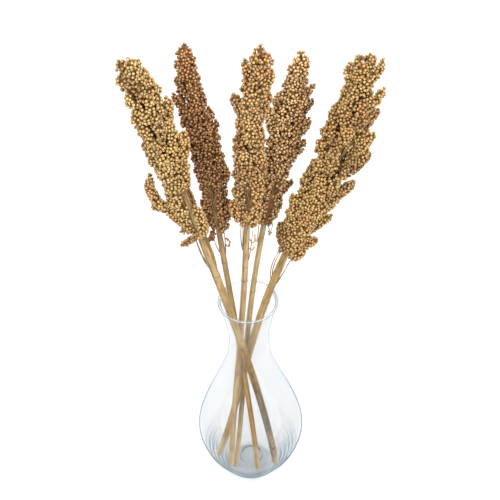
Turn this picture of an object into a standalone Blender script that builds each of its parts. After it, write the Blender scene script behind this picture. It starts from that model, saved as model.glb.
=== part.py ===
"""Five dried sorghum seed heads on straw stems, standing crossed in a clear glass vase.

Metres, +Z up. The origin is the centre of the vase's flat underside.
"""
import math
import random

import bmesh
import bpy
from mathutils import Vector

# Touching pieces keep this air gap.
AIR_GAP = 0.0004

# Vase: the outside as (height, radius), from the foot to the rim.
VASE_OUTLINE = (
    (0.0, 0.0287), (0.015, 0.0393), (0.049, 0.0587), (0.085, 0.0664), (0.128, 0.0561),
    (0.170, 0.0402), (0.206, 0.0284), (0.243, 0.0240), (0.279, 0.0293), (0.304, 0.0357),
)
VASE_STEPS_BETWEEN = 2
VASE_SEGMENTS = 24
VASE_WALL = 0.003
# The thick foot: a solid floor with a bell of glass rising in its middle.
VASE_FLOOR = 0.0105
BELL_RADIUS = 0.015
BELL_HEIGHT = 0.027
BELL_STEPS = 3

# Stems: each route is five points, from the cut foot through the neck to the tip of the head.
# A ring is the height of a joint in the straw, a ray is (turn in degrees, spread) of a bare twig.
STEMS = {
    "stem_1": {
        "route": ((0.031, -0.021, 0.026), (-0.009, -0.013, 0.245), (-0.041, -0.016, 0.385),
                  (-0.074, -0.024, 0.525), (-0.112, -0.037, 0.674)),
        "radius": 0.0046, "rings": (0.362,), "rays_from": 0.372,
        "rays": ((172, 0.0045), (12, 0.0050), (285, 0.0020)),
    },
    "stem_2": {
        "route": ((0.008, -0.020, 0.013), (-0.014, 0.005, 0.245), (-0.030, 0.020, 0.385),
                  (-0.046, 0.033, 0.525), (-0.060, 0.050, 0.631)),
        "radius": 0.0034, "rings": (0.352,), "rays_from": 0.356,
        "rays": ((186, 0.0025), (8, 0.0040), (80, 0.0030)),
    },
    "stem_3": {
        "route": ((-0.026, -0.026, 0.029), (-0.010, -0.004, 0.245), (-0.001, 0.0, 0.385),
                  (0.005, -0.010, 0.525), (0.019, -0.022, 0.674)),
        "radius": 0.0036, "rings": (0.338, 0.360), "rays_from": 0.363,
        "rays": ((178, 0.0030), (5, 0.0035), (250, 0.0020), (320, 0.0025)),
    },
    "stem_4": {
        "route": ((-0.021, -0.016, 0.012), (0.0, 0.017, 0.245), (0.018, 0.028, 0.385),
                  (0.045, 0.043, 0.525), (0.063, 0.047, 0.616)),
        "radius": 0.0033, "rings": (0.300,), "rays_from": 0.352,
        "rays": ((10, 0.0040), (190, 0.0020), (95, 0.0030)),
    },
    "stem_5": {
        "route": ((-0.042, -0.012, 0.034), (0.009, 0.009, 0.245), (0.051, 0.013, 0.385),
                  (0.101, 0.013, 0.525), (0.122, 0.014, 0.636)),
        "radius": 0.0045, "rings": (0.292,), "rays_from": 0.318,
        "rays": ((183, 0.0040), (350, 0.0045), (268, 0.0020)),
    },
}
STEM_SIDES_LEVEL = 2
STEM_POINT_SPACING = 0.048
FOOT_THINNING = 0.92
RING_SWELL = 1.06
RING_HALF_LENGTH = 0.0035
# Inside the head the straw goes on as a thinner axis that ends at this share of the head.
AXIS_SHARE = 0.72
AXIS_THINNING = 0.80
AXIS_TIP_THINNING = 0.42
RAY_RADIUS = 0.0008
RAY_BELOW_HEAD = 0.004

# Heads: "outline" is (height, reach to the left, reach to the right) of the seed mass and
# "shoulder" the height where it turns dense. "bare" is (from height, to height, turn, half turn)
# of a side where no branch leaves the straw, so that it shows.
# A sprig is (turn in degrees, thickness, path), and its path is (height, distance from the axis).
HEADS = {
    "head_1": {
        "stem": "stem_1", "seed": 11, "branches": 66, "shoulder": 0.478, "bare": ((0.400, 0.498, 328, 80),),
        "outline": ((0.412, 0.007, 0.006), (0.450, 0.013, 0.005), (0.490, 0.0205, 0.009),
                    (0.520, 0.0215, 0.0175), (0.560, 0.0235, 0.0215), (0.600, 0.0205, 0.0225),
                    (0.635, 0.0195, 0.0185), (0.660, 0.0165, 0.0135), (0.679, 0.009, 0.008)),
        "sprigs": (
            (182, 0.0062, ((0.426, 0.003), (0.446, 0.011), (0.470, 0.022), (0.486, 0.031),
                           (0.508, 0.032), (0.528, 0.025))),
            (178, 0.0052, ((0.486, 0.030), (0.473, 0.0365))),
            (196, 0.0040, ((0.436, 0.004), (0.441, 0.018))),
            (172, 0.0042, ((0.426, 0.004), (0.418, 0.015), (0.413, 0.026))),
            (184, 0.0066, ((0.446, 0.007), (0.466, 0.0135), (0.488, 0.014), (0.502, 0.013))),
            (325, 0.0064, ((0.426, 0.004), (0.442, 0.0095), (0.460, 0.0105), (0.472, 0.008))),
            (268, 0.0040, ((0.424, 0.004), (0.436, 0.0075))),
            (90, 0.0056, ((0.440, 0.004), (0.460, 0.012), (0.486, 0.015))),
            (355, 0.0062, ((0.530, 0.010), (0.556, 0.021), (0.573, 0.025))),
            (356, 0.0044, ((0.586, 0.013), (0.606, 0.022), (0.619, 0.0225))))},
    "head_2": {
        "stem": "stem_2", "seed": 22, "branches": 62, "shoulder": 0.426, "bare": ((0.380, 0.468, 268, 24),),
        "outline": ((0.390, 0.006, 0.007), (0.420, 0.009, 0.017), (0.460, 0.013, 0.020),
                    (0.500, 0.0165, 0.0235), (0.535, 0.0235, 0.0195), (0.570, 0.0220, 0.0120),
                    (0.598, 0.0165, 0.009), (0.620, 0.0095, 0.007), (0.635, 0.004, 0.004)),
        "sprigs": (
            (188, 0.0042, ((0.398, 0.005), (0.388, 0.010), (0.388, 0.016))),
            (176, 0.0050, ((0.398, 0.004), (0.418, 0.009), (0.442, 0.012))),
            (6, 0.0056, ((0.402, 0.004), (0.418, 0.012), (0.438, 0.0165))),
            (80, 0.0050, ((0.400, 0.004), (0.424, 0.014))),
            (4, 0.0056, ((0.452, 0.010), (0.478, 0.0215))),
            (356, 0.0052, ((0.512, 0.010), (0.541, 0.018))),
            (184, 0.0052, ((0.546, 0.010), (0.578, 0.0215))),
            (186, 0.0044, ((0.592, 0.006), (0.613, 0.012))))},
    "head_3": {
        "stem": "stem_3", "seed": 33, "branches": 62, "shoulder": 0.446, "bare": ((0.400, 0.492, 266, 22),),
        "outline": ((0.420, 0.006, 0.006), (0.438, 0.014, 0.014), (0.465, 0.0190, 0.0195),
                    (0.520, 0.0195, 0.0185), (0.570, 0.019, 0.0135), (0.610, 0.0165, 0.0150),
                    (0.645, 0.0125, 0.0155), (0.664, 0.005, 0.0145), (0.677, 0.002, 0.011)),
        "sprigs": (
            (182, 0.0058, ((0.428, 0.006), (0.442, 0.0125), (0.462, 0.0165))),
            (352, 0.0050, ((0.424, 0.004), (0.436, 0.011))),
            (268, 0.0036, ((0.436, 0.006), (0.452, 0.0075))),
            (70, 0.0052, ((0.426, 0.004), (0.444, 0.013))),
            (184, 0.0056, ((0.586, 0.010), (0.604, 0.018), (0.615, 0.0205))),
            (184, 0.0042, ((0.630, 0.007), (0.648, 0.0130), (0.657, 0.0145))),
            (210, 0.0046, ((0.646, 0.004), (0.665, 0.0085))),
            (354, 0.0048, ((0.612, 0.008), (0.634, 0.0125), (0.648, 0.0145))),
            (2, 0.0052, ((0.588, 0.009), (0.617, 0.0145))))},
    "head_4": {
        "stem": "stem_4", "seed": 44, "branches": 62, "shoulder": 0.426, "bare": ((0.380, 0.462, 282, 24),),
        "outline": ((0.392, 0.005, 0.005), (0.412, 0.010, 0.010), (0.440, 0.014, 0.0155),
                    (0.480, 0.017, 0.018), (0.512, 0.0195, 0.0215), (0.546, 0.020, 0.0195),
                    (0.575, 0.0145, 0.014), (0.602, 0.012, 0.009), (0.620, 0.006, 0.006)),
        "sprigs": (
            (356, 0.0050, ((0.402, 0.005), (0.416, 0.010), (0.430, 0.0135))),
            (178, 0.0050, ((0.400, 0.004), (0.418, 0.012))),
            (90, 0.0050, ((0.402, 0.004), (0.424, 0.014))),
            (4, 0.0048, ((0.436, 0.008), (0.459, 0.021))),
            (358, 0.0060, ((0.484, 0.010), (0.500, 0.0185), (0.513, 0.0235))),
            (352, 0.0060, ((0.512, 0.010), (0.528, 0.0185), (0.542, 0.022))),
            (4, 0.0052, ((0.536, 0.009), (0.562, 0.021))),
            (354, 0.0046, ((0.556, 0.007), (0.582, 0.018))),
            (184, 0.0048, ((0.532, 0.009), (0.562, 0.0185))),
            (186, 0.0044, ((0.556, 0.005), (0.580, 0.0120))),
            (182, 0.0054, ((0.508, 0.009), (0.530, 0.0185), (0.547, 0.021))))},
    "head_5": {
        "stem": "stem_5", "seed": 55, "branches": 72, "shoulder": 0.396,
        "bare": ((0.350, 0.374, 270, 30), (0.495, 0.540, 288, 15)),
        "outline": ((0.358, 0.006, 0.007), (0.378, 0.013, 0.0155), (0.404, 0.020, 0.0185),
                    (0.440, 0.0225, 0.0205), (0.475, 0.0235, 0.0235), (0.512, 0.0270, 0.0255),
                    (0.542, 0.0245, 0.0245), (0.580, 0.0195, 0.0225), (0.614, 0.0155, 0.0185),
                    (0.641, 0.006, 0.007)),
        "sprigs": (
            (352, 0.0064, ((0.362, 0.006), (0.368, 0.012), (0.380, 0.017))),
            (0, 0.0062, ((0.376, 0.008), (0.386, 0.018), (0.397, 0.0265))),
            (358, 0.0058, ((0.398, 0.009), (0.418, 0.019), (0.434, 0.0285))),
            (4, 0.0056, ((0.420, 0.010), (0.440, 0.020), (0.457, 0.0275))),
            (358, 0.0066, ((0.440, 0.012), (0.462, 0.024), (0.484, 0.034))),
            (4, 0.0062, ((0.478, 0.014), (0.500, 0.028), (0.519, 0.0375))),
            (0, 0.0050, ((0.498, 0.024), (0.512, 0.029), (0.526, 0.031))),
            (356, 0.0062, ((0.512, 0.014), (0.532, 0.025), (0.548, 0.030))),
            (4, 0.0056, ((0.540, 0.012), (0.558, 0.021), (0.573, 0.0265))),
            (356, 0.0050, ((0.568, 0.012), (0.586, 0.0215), (0.600, 0.0250))),
            (2, 0.0040, ((0.604, 0.011), (0.620, 0.0185), (0.631, 0.020))),
            (350, 0.0044, ((0.612, 0.005), (0.636, 0.0105))),
            (184, 0.0044, ((0.596, 0.009), (0.614, 0.0155), (0.627, 0.013))),
            (180, 0.0052, ((0.540, 0.012), (0.566, 0.0205))),
            (184, 0.0056, ((0.416, 0.008), (0.448, 0.0235))),
            (177, 0.0056, ((0.374, 0.004), (0.386, 0.013), (0.406, 0.0205))),
            (80, 0.0052, ((0.372, 0.004), (0.394, 0.015))))},
}
# Seed branches: each leaves the axis, bends outwards and then runs up beside it.
BRANCH_LENGTH = 0.046
BRANCH_THICKNESS = 0.0062
BRANCH_TURN = math.radians(137.5)
BRANCH_BEND = 1.7
WIDEST_BELOW_TIP = 0.3
TIP_ROOM = 0.003
SHORTEST_BRANCH = 0.020
# The skin that the branches raise: its faces around and its rings' spacing.
SKIN_SIDES = 18
SKIN_RING_SPACING = 0.0078
CORE_SHARE = 0.74
CORE_WALL = 0.0016
GRAIN_RELIEF = 0.0019
SPRIG_SIDES = 6
SPRIG_RELIEF_SHARE = 0.6
SPRIG_RING_SPACING = 0.0062

# Colours, linear.
GLASS = ((0.86, 0.92, 0.94, 1.0), 0.05)
STRAW = ((0.52, 0.34, 0.15, 1.0), 0.7)
DARK_STRAW = ((0.36, 0.22, 0.08, 1.0), 0.7)
GRAIN_COLOURS = {
    "head_1": (0.43, 0.26, 0.09, 1.0), "head_2": (0.26, 0.13, 0.05, 1.0),
    "head_3": (0.44, 0.25, 0.10, 1.0), "head_4": (0.38, 0.20, 0.08, 1.0),
    "head_5": (0.42, 0.26, 0.09, 1.0),
}
GRAIN_ROUGHNESS = 0.6


def clear_scene():
    for item in list(bpy.data.objects):
        bpy.data.objects.remove(item, do_unlink=True)


def new_collection(name):
    collection = bpy.data.collections.new(name)
    bpy.context.scene.collection.children.link(collection)
    return collection


def material(name, colour, roughness, transmission=0.0):
    made = bpy.data.materials.new(name)
    made.use_nodes = True
    shader = made.node_tree.nodes["Principled BSDF"]
    shader.inputs["Base Color"].default_value = colour
    shader.inputs["Roughness"].default_value = roughness
    shader.inputs["Metallic"].default_value = 0.0
    shader.inputs["Transmission Weight"].default_value = transmission
    made.diffuse_color = colour
    return made


def add_object(name, mesh, collection):
    made = bpy.data.objects.new(name, mesh)
    collection.objects.link(made)
    return made


def mesh_of(bm, name):
    mesh = bpy.data.meshes.new(name)
    bm.to_mesh(mesh)
    bm.free()
    return mesh


def through(points, value):
    """Read the smooth curve through (value, reading) points, one polynomial for all of them."""
    total = 0.0
    for index, (here, reading) in enumerate(points):
        weight = 1.0
        for other, (there, _) in enumerate(points):
            if other != index:
                weight *= (value - there) / (here - there)
        total += weight * reading
    return total


def between(points, value):
    """Read straight lines between (value, reading) points."""
    if value <= points[0][0]:
        return points[0][1]
    for (low, start), (high, end) in zip(points, points[1:]):
        if value <= high:
            return start + (end - start) * (value - low) / (high - low)
    return points[-1][1]


def on_route(stem, height):
    route = STEMS[stem]["route"]
    x = through([(point[2], point[0]) for point in route], height)
    y = through([(point[2], point[1]) for point in route], height)
    return Vector((x, y, height))


def beside_route(stem, height, turn, distance):
    """A point at a distance from the stem's axis, turned about it from the +X side."""
    step = 0.001
    along = (on_route(stem, height + step) - on_route(stem, height - step)).normalized()
    right = Vector((0, 1, 0)).cross(along).normalized()
    back = along.cross(right)
    return on_route(stem, height) + right * distance * math.cos(turn) + back * distance * math.sin(turn)


def head_of(stem):
    return next(head for head in HEADS.values() if head["stem"] == stem)


def axis_top(head):
    foot = head["outline"][0][0]
    tip = head["outline"][-1][0]
    return foot + (tip - foot) * AXIS_SHARE


def stem_radius(stem, height):
    """Straw radius: a little slimmer at the cut foot, then thinning inside the head."""
    radius = STEMS[stem]["radius"]
    head = head_of(stem)
    foot = head["outline"][0][0]
    profile = (
        (STEMS[stem]["route"][0][2], radius * FOOT_THINNING),
        (STEMS[stem]["route"][1][2], radius),
        (foot - 0.010, radius),
        (foot + 0.030, radius * AXIS_THINNING),
        (axis_top(head), radius * AXIS_TIP_THINNING),
    )
    return between(profile, height)


def tube(name, points, radii, level, collection):
    """A round bar through the points, made a closed mesh with welded caps."""
    curve = bpy.data.curves.new(name, "CURVE")
    curve.dimensions = "3D"
    curve.bevel_depth = 1.0
    curve.bevel_resolution = level
    curve.use_fill_caps = True
    line = curve.splines.new("POLY")
    line.points.add(len(points) - 1)
    for spline_point, point, radius in zip(line.points, points, radii):
        spline_point.co = (*point, 1.0)
        spline_point.radius = radius
    guide = add_object(name + "_line", curve, collection)
    evaluated = guide.evaluated_get(bpy.context.evaluated_depsgraph_get())
    mesh = bpy.data.meshes.new_from_object(evaluated)
    bpy.data.objects.remove(guide)
    bm = bmesh.new()
    bm.from_mesh(mesh)
    bmesh.ops.remove_doubles(bm, verts=bm.verts, dist=0.00002)
    bmesh.ops.recalc_face_normals(bm, faces=bm.faces)
    bm.to_mesh(mesh)
    bm.free()
    mesh.name = name
    return add_object(name, mesh, collection)


def apply_boolean(target, operation, operand, solver="EXACT"):
    """Join or cut with one object or a whole collection, apply it, and remove what was used."""
    cut = target.modifiers.new(operation.lower(), "BOOLEAN")
    cut.operation = operation
    cut.solver = solver
    if isinstance(operand, bpy.types.Collection):
        cut.operand_type = "COLLECTION"
        cut.collection = operand
        used = list(operand.objects)
    else:
        cut.object = operand
        used = [operand]
    evaluated = target.evaluated_get(bpy.context.evaluated_depsgraph_get())
    mesh = bpy.data.meshes.new_from_object(evaluated)
    target.modifiers.clear()
    target.data = mesh
    for item in used:
        bpy.data.objects.remove(item)


def keep_main_body(target):
    """Drop loose scraps and fill sealed hollows: only the largest connected surface stays."""
    bm = bmesh.new()
    bm.from_mesh(target.data)
    unseen = set(bm.verts)
    bodies = []
    while unseen:
        edge_of_body = [unseen.pop()]
        body = set(edge_of_body)
        while edge_of_body:
            vert = edge_of_body.pop()
            found = {edge.other_vert(vert) for edge in vert.link_edges} & unseen
            unseen -= found
            body |= found
            edge_of_body.extend(found)
        bodies.append(body)
    bodies.sort(key=len)
    strays = [vert for body in bodies[:-1] for vert in body]
    bmesh.ops.delete(bm, geom=strays, context="VERTS")
    bm.to_mesh(target.data)
    bm.free()


# Vase: one turned piece of glass with a thick foot.
def smooth_outline(points, steps):
    """Points on a smooth line through the outline, ends kept."""
    padded = [points[0], *points, points[-1]]
    line = []
    for a, b, c, d in zip(padded, padded[1:], padded[2:], padded[3:]):
        for step in range(steps):
            t = step / steps
            line.append(tuple(
                0.5 * (2 * b[k] + (c[k] - a[k]) * t + (2 * a[k] - 5 * b[k] + 4 * c[k] - d[k]) * t ** 2
                       + (3 * b[k] - a[k] - 3 * c[k] + d[k]) * t ** 3) for k in (0, 1)))
    line.append(points[-1])
    return line


def inner_wall(outside):
    """The inside of the wall, set in square to the outline and kept above the floor."""
    inside = []
    for before, here, after in zip([outside[0], *outside], outside, [*outside[1:], outside[-1]]):
        slope = Vector((after[0] - before[0], after[1] - before[1])).normalized()
        height = here[0] + slope.y * VASE_WALL
        radius = here[1] - slope.x * VASE_WALL
        if VASE_FLOOR + 0.002 < height < outside[-1][0]:
            inside.append((height, radius))
    return inside


def build_vase(parts):
    outside = smooth_outline(VASE_OUTLINE, VASE_STEPS_BETWEEN)
    rim_height, rim_radius = outside[-1]
    inside = inner_wall(outside)
    bell = []
    for step in range(BELL_STEPS + 1):
        swing = 0.5 * math.pi * step / BELL_STEPS
        height = VASE_FLOOR + (BELL_HEIGHT - VASE_FLOOR) * math.sin(swing)
        bell.append((height, BELL_RADIUS * math.cos(swing)))
    rim = (rim_height, rim_radius - VASE_WALL)
    floor_edge = (VASE_FLOOR, inside[0][1] - 0.0015)
    # From the top of the bell over the floor and up the inside, then down the outside to the axis.
    section = [*bell[::-1], floor_edge, *inside, rim, *outside[::-1], (0.0, 0.0)]
    bm = bmesh.new()
    verts = [bm.verts.new((radius, 0.0, height)) for height, radius in section]
    for one, two in zip(verts, verts[1:]):
        bm.edges.new((one, two))
    vase = add_object("vase", mesh_of(bm, "vase"), parts)
    turn = vase.modifiers.new("turned", "SCREW")
    turn.angle = math.tau
    turn.screw_offset = 0.0
    turn.steps = VASE_SEGMENTS
    turn.render_steps = VASE_SEGMENTS
    turn.use_merge_vertices = True
    turn.merge_threshold = 0.00002
    vase.data.materials.append(material("glass", *GLASS, transmission=1.0))
    return vase


# Stems: straw with a joint ring, cut square at the foot, going on into the head as its axis.
def build_stem(name, parts, scraps):
    stem = STEMS[name]
    head = head_of(name)
    low = stem["route"][0][2]
    top = axis_top(head)
    steps = round((top - low) / STEM_POINT_SPACING)
    stations = [(low + (top - low) * step / steps, 1.0) for step in range(steps + 1)]
    for ring in stem["rings"]:
        stations = [item for item in stations if abs(item[0] - ring) > 3 * RING_HALF_LENGTH]
        stations += [(ring - RING_HALF_LENGTH, 1.0), (ring, RING_SWELL), (ring + RING_HALF_LENGTH, 1.0)]
    stations.sort()
    points = [on_route(name, height) for height, _ in stations]
    radii = [stem_radius(name, height) * swell for height, swell in stations]
    straw = tube(name, points, radii, STEM_SIDES_LEVEL, parts)
    twigs = bpy.data.collections.new(name + "_rays")
    scraps.children.link(twigs)
    ray_low = stem["rays_from"]
    ray_top = head["outline"][0][0] - RAY_BELOW_HEAD
    for index, (turn, spread) in enumerate(stem["rays"]):
        root = stem["radius"] * 0.72
        path = ((0.0, root), (0.25, stem["radius"] + 0.3 * spread),
                (0.6, stem["radius"] + 0.75 * spread), (1.0, stem["radius"] + spread))
        line = [beside_route(name, ray_low + (ray_top - ray_low) * share, math.radians(turn), distance)
                for share, distance in path]
        tube(f"{name}_ray_{index + 1}", line, [RAY_RADIUS] * len(line), 0, twigs)
    apply_boolean(straw, "UNION", twigs)
    bpy.data.collections.remove(twigs)
    colour = DARK_STRAW if name == "stem_1" else STRAW
    straw.data.materials.clear()
    straw.data.materials.append(material(name + "_straw", *colour))
    return straw


# Heads: seed branches round an axis, each branch a ridge of the skin with a relief of grains.
def mass_reach(head, height, turn):
    """How far the mass reaches from its axis, between its left and its right outline."""
    left = between([(place, reach) for place, reach, _ in head["outline"]], height)
    right = between([(place, reach) for place, _, reach in head["outline"]], height)
    return (left + right) / 2 + (right - left) / 2 * math.cos(turn)


def is_bare(head, height, turn):
    """Whether a side of the head is bare at this height and turn."""
    for low, high, centre, half_turn in head["bare"]:
        away = abs((turn - math.radians(centre) + math.pi) % math.tau - math.pi)
        if low <= height < high and away < math.radians(half_turn):
            return True
    return False


def raised_root(head, root, turn):
    """Where a branch leaves the axis: not below the mass, nor on a side that is bare there."""
    root = max(root, head["outline"][0][0])
    for _, high, _, _ in head["bare"]:
        if is_bare(head, root, turn) and root < high:
            root = high
    return root


def seed_branches(head):
    """Tight branches as (root height, tip height, turn, reach), set out in a rising spiral."""
    draw = random.Random(head["seed"])
    low = head["shoulder"]
    high = head["outline"][-1][0] - TIP_ROOM
    branches = []
    for index in range(head["branches"]):
        share = (index + 0.5) / head["branches"]
        tip = low + (high - low) * share + draw.uniform(-0.003, 0.003)
        turn = (index * BRANCH_TURN + draw.uniform(-0.25, 0.25)) % math.tau
        length = BRANCH_LENGTH * draw.uniform(0.85, 1.15) * (1 - 0.3 * share)
        widest = tip - WIDEST_BELOW_TIP * length
        reach = mass_reach(head, widest, turn) * draw.uniform(0.94, 1.10)
        root = raised_root(head, tip - length, turn)
        if tip - root > SHORTEST_BRANCH:
            branches.append((root, tip, turn, max(reach - BRANCH_THICKNESS, 0.0)))
    return branches


def branch_ridge(branch, height, turn):
    """How far from the axis a branch reaches at this height and turn, or zero where it is absent."""
    root, tip, branch_turn, reach = branch
    share = (height - root) / (tip - root)
    if not 0.0 < share < 1.0:
        return 0.0
    distance = reach * (1 - (1 - share) ** BRANCH_BEND)
    thickness = BRANCH_THICKNESS * math.sqrt(1 - abs(2 * share - 1) ** 3)
    sideways = distance * math.sin(turn - branch_turn)
    along = distance * math.cos(turn - branch_turn)
    if along < 0 or abs(sideways) >= thickness:
        return 0.0
    return along + math.sqrt(thickness ** 2 - sideways ** 2)


def seed_body(name, sides, rings, place, collection):
    """A closed body from a globe: place gives each point from its ring, turn and relief."""
    bm = bmesh.new()
    bmesh.ops.create_uvsphere(bm, u_segments=sides, v_segments=rings, radius=1.0)
    for vert in bm.verts:
        ring = round(rings * math.acos(max(-1.0, min(1.0, vert.co.z))) / math.pi)
        turn = math.atan2(vert.co.y, vert.co.x) % math.tau
        side = round(turn * sides / math.tau)
        relief = GRAIN_RELIEF if (ring + side) % 2 else -GRAIN_RELIEF
        vert.co = place(1 - ring / rings, turn, relief)
    bmesh.ops.triangulate(bm, faces=bm.faces, quad_method="SHORT_EDGE")
    return add_object(name, mesh_of(bm, name), collection)


def build_mass(name, parts):
    """The head's mass: rings strung along the axis, raised by the branches and their grains."""
    head = HEADS[name]
    stem = head["stem"]
    branches = seed_branches(head)
    low = head["outline"][0][0]
    high = head["outline"][-1][0]

    def place(share, turn, relief):
        height = low + (high - low) * share
        if share in (0.0, 1.0):
            return on_route(stem, height)
        core = 0.0 if is_bare(head, height, turn) else mass_reach(head, height, turn) * CORE_SHARE
        ridge = max(branch_ridge(branch, height, turn) for branch in branches)
        least = stem_radius(stem, height) + AIR_GAP + CORE_WALL
        return beside_route(stem, height, turn, max(max(core, ridge) + relief, least))

    return seed_body(name, SKIN_SIDES, round((high - low) / SKIN_RING_SPACING), place, parts)


def build_sprig(stem, sprig, collection):
    """A loose sprig: a round-ended body along its path, with the same relief of grains."""
    turn, thickness, path = sprig
    turn = math.radians(turn)
    corners = [beside_route(stem, height, turn, distance) for height, distance in path]
    lengths = [0.0]
    for start, end in zip(corners, corners[1:]):
        lengths.append(lengths[-1] + (end - start).length)
    across = (beside_route(stem, path[0][0], turn + 0.5 * math.pi, 1.0)
              - on_route(stem, path[0][0])).normalized()

    def centre(run):
        return Vector([between([(length, corner[axis]) for length, corner in zip(lengths, corners)], run)
                       for axis in range(3)])

    def place(share, around, relief):
        run = lengths[-1] * share
        step = 0.002
        along = (centre(min(run + step, lengths[-1])) - centre(max(run - step, 0.0))).normalized()
        out = along.cross(across).normalized()
        if share in (0.0, 1.0):
            return centre(run)
        width = (thickness + SPRIG_RELIEF_SHARE * relief) * (1 - abs(2 * share - 1) ** 4) ** 0.5
        return centre(run) + across * width * math.cos(around) + out * width * math.sin(around)

    rings = max(4, round(lengths[-1] / SPRIG_RING_SPACING) + 1)
    return seed_body("sprig", SPRIG_SIDES, rings, place, collection)


def build_head(name, parts, scraps):
    head = HEADS[name]
    stem = head["stem"]
    mass = build_mass(name, parts)
    sprigs = bpy.data.collections.new(name + "_sprigs")
    scraps.children.link(sprigs)
    for sprig in head["sprigs"]:
        build_sprig(stem, sprig, sprigs)
    apply_boolean(mass, "UNION", sprigs, "MANIFOLD")
    bpy.data.collections.remove(sprigs)
    # The straw axis passes up the middle with an air gap all round.
    low = head["outline"][0][0] - 0.020
    top = axis_top(head) + AIR_GAP
    steps = round((top - low) / 0.030)
    heights = [low + (top - low) * step / steps for step in range(steps + 1)]
    inscribed = math.cos(math.pi / (4 + 2 * STEM_SIDES_LEVEL))
    radii = [(stem_radius(stem, height) + AIR_GAP) / inscribed for height in heights]
    line = [on_route(stem, height) for height in heights]
    bore = tube(name + "_bore", line, radii, STEM_SIDES_LEVEL, scraps)
    bore.hide_render = True
    bore.display_type = "WIRE"
    apply_boolean(mass, "DIFFERENCE", bore, "MANIFOLD")
    keep_main_body(mass)
    mass.data.materials.clear()
    mass.data.materials.append(material(name + "_grain", GRAIN_COLOURS[name], GRAIN_ROUGHNESS))
    return mass


clear_scene()
parts = new_collection("sorghum_in_vase")
scraps = new_collection("cutters")
build_vase(parts).data.shade_smooth()
for stem_name in STEMS:
    build_stem(stem_name, parts, scraps).data.set_sharp_from_angle(angle=math.radians(50))
for head_name in HEADS:
    build_head(head_name, parts, scraps)
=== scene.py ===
"""Looks of five dried sorghum seed heads, standing crossed in a clear glass vase."""
import math
import random

import bmesh
import bpy
import numpy as np
from mathutils import Matrix, Vector


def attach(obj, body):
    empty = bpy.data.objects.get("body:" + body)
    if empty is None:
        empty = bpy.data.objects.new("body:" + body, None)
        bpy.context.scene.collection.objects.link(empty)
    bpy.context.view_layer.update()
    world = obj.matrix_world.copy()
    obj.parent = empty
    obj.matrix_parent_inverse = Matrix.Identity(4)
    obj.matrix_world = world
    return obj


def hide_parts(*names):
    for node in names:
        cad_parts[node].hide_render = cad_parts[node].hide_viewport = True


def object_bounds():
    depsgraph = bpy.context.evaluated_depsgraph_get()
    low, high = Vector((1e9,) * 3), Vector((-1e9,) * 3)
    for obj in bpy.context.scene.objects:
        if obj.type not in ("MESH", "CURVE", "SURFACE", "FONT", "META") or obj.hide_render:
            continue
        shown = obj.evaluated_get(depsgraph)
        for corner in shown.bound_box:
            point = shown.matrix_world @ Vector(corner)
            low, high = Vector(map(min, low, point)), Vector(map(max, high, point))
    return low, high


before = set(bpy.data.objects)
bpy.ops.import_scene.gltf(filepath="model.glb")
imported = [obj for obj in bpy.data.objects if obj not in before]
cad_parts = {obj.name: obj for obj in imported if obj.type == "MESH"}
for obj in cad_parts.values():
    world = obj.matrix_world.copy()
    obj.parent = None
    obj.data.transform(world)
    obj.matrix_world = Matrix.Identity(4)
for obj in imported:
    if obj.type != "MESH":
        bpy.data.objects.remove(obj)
cad_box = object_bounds()
scene = bpy.context.scene

# Camera: it looks down on the bunch from the front, a little rolled, as the photograph does.
# Its principal point lies a few pixels left of the middle, which is all that the shift is for.
CAMERA_PLACE = (0.0, -1.060, 1.378)
CAMERA_PITCH = math.radians(43.13)
CAMERA_ROLL = math.radians(-1.28)
FOCAL_PIXELS = 1288
PICTURE_PIXELS = 500
OFF_CENTRE_PIXELS = 3.2
SENSOR_WIDTH = 36.0

camera_data = bpy.data.cameras.new("camera")
camera_data.sensor_width = SENSOR_WIDTH
camera_data.lens = SENSOR_WIDTH * FOCAL_PIXELS / PICTURE_PIXELS
camera_data.shift_x = OFF_CENTRE_PIXELS / PICTURE_PIXELS
camera = bpy.data.objects.new("camera", camera_data)
camera.matrix_world = (Matrix.Translation(CAMERA_PLACE)
                       @ Matrix.Rotation(math.radians(90) - CAMERA_PITCH, 4, "X")
                       @ Matrix.Rotation(CAMERA_ROLL, 4, "Z"))
scene.collection.objects.link(camera)
scene.camera = camera

# Studio: a plain white floor, a pale sky and three large soft lamps, two in front and one behind.
# The sky is greyer than the lit floor and darker low down, which draws the edges of the glass.
FLOOR_SIZE = 8.0
FLOOR_COLOUR = (0.60, 0.60, 0.60, 1.0)
# The sky's colours from the horizon up, as (rise, colour).
SKY_STOPS = ((0.05, (0.30, 0.34, 0.37, 1.0)), (0.5, (1.04, 1.06, 1.08, 1.0)))
LAMP_TARGET = Vector((0.0, 0.0, 0.35))
# Each lamp: name, place, width in metres and power in watts.
LAMPS = (
    ("key_lamp", (-0.7, -1.5, 2.6), 1.8, 72.0),
    ("fill_lamp", (1.3, -1.3, 1.8), 1.6, 36.0),
    ("back_lamp", (0.3, 1.9, 2.2), 1.6, 36.0),
)

scene.view_settings.view_transform = "Standard"
scene.view_settings.look = "None"


def add_object(name, mesh):
    made = bpy.data.objects.new(name, mesh)
    scene.collection.objects.link(made)
    return made


def mesh_from(bm, name):
    mesh = bpy.data.meshes.new(name)
    bm.to_mesh(mesh)
    bm.free()
    return mesh


def new_material(name):
    """A material with its Principled shader, ready for nodes."""
    made = bpy.data.materials.new(name)
    made.use_nodes = True
    return made, made.node_tree, made.node_tree.nodes["Principled BSDF"]


def add_node(tree, kind, inputs=(), **settings):
    """A node with its settings; inputs are (socket, value or output to link) pairs."""
    node = tree.nodes.new(kind)
    for key, value in settings.items():
        setattr(node, key, value)
    for socket, value in inputs:
        if isinstance(value, bpy.types.NodeSocket):
            tree.links.new(value, node.inputs[socket])
        else:
            node.inputs[socket].default_value = value
    return node


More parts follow.
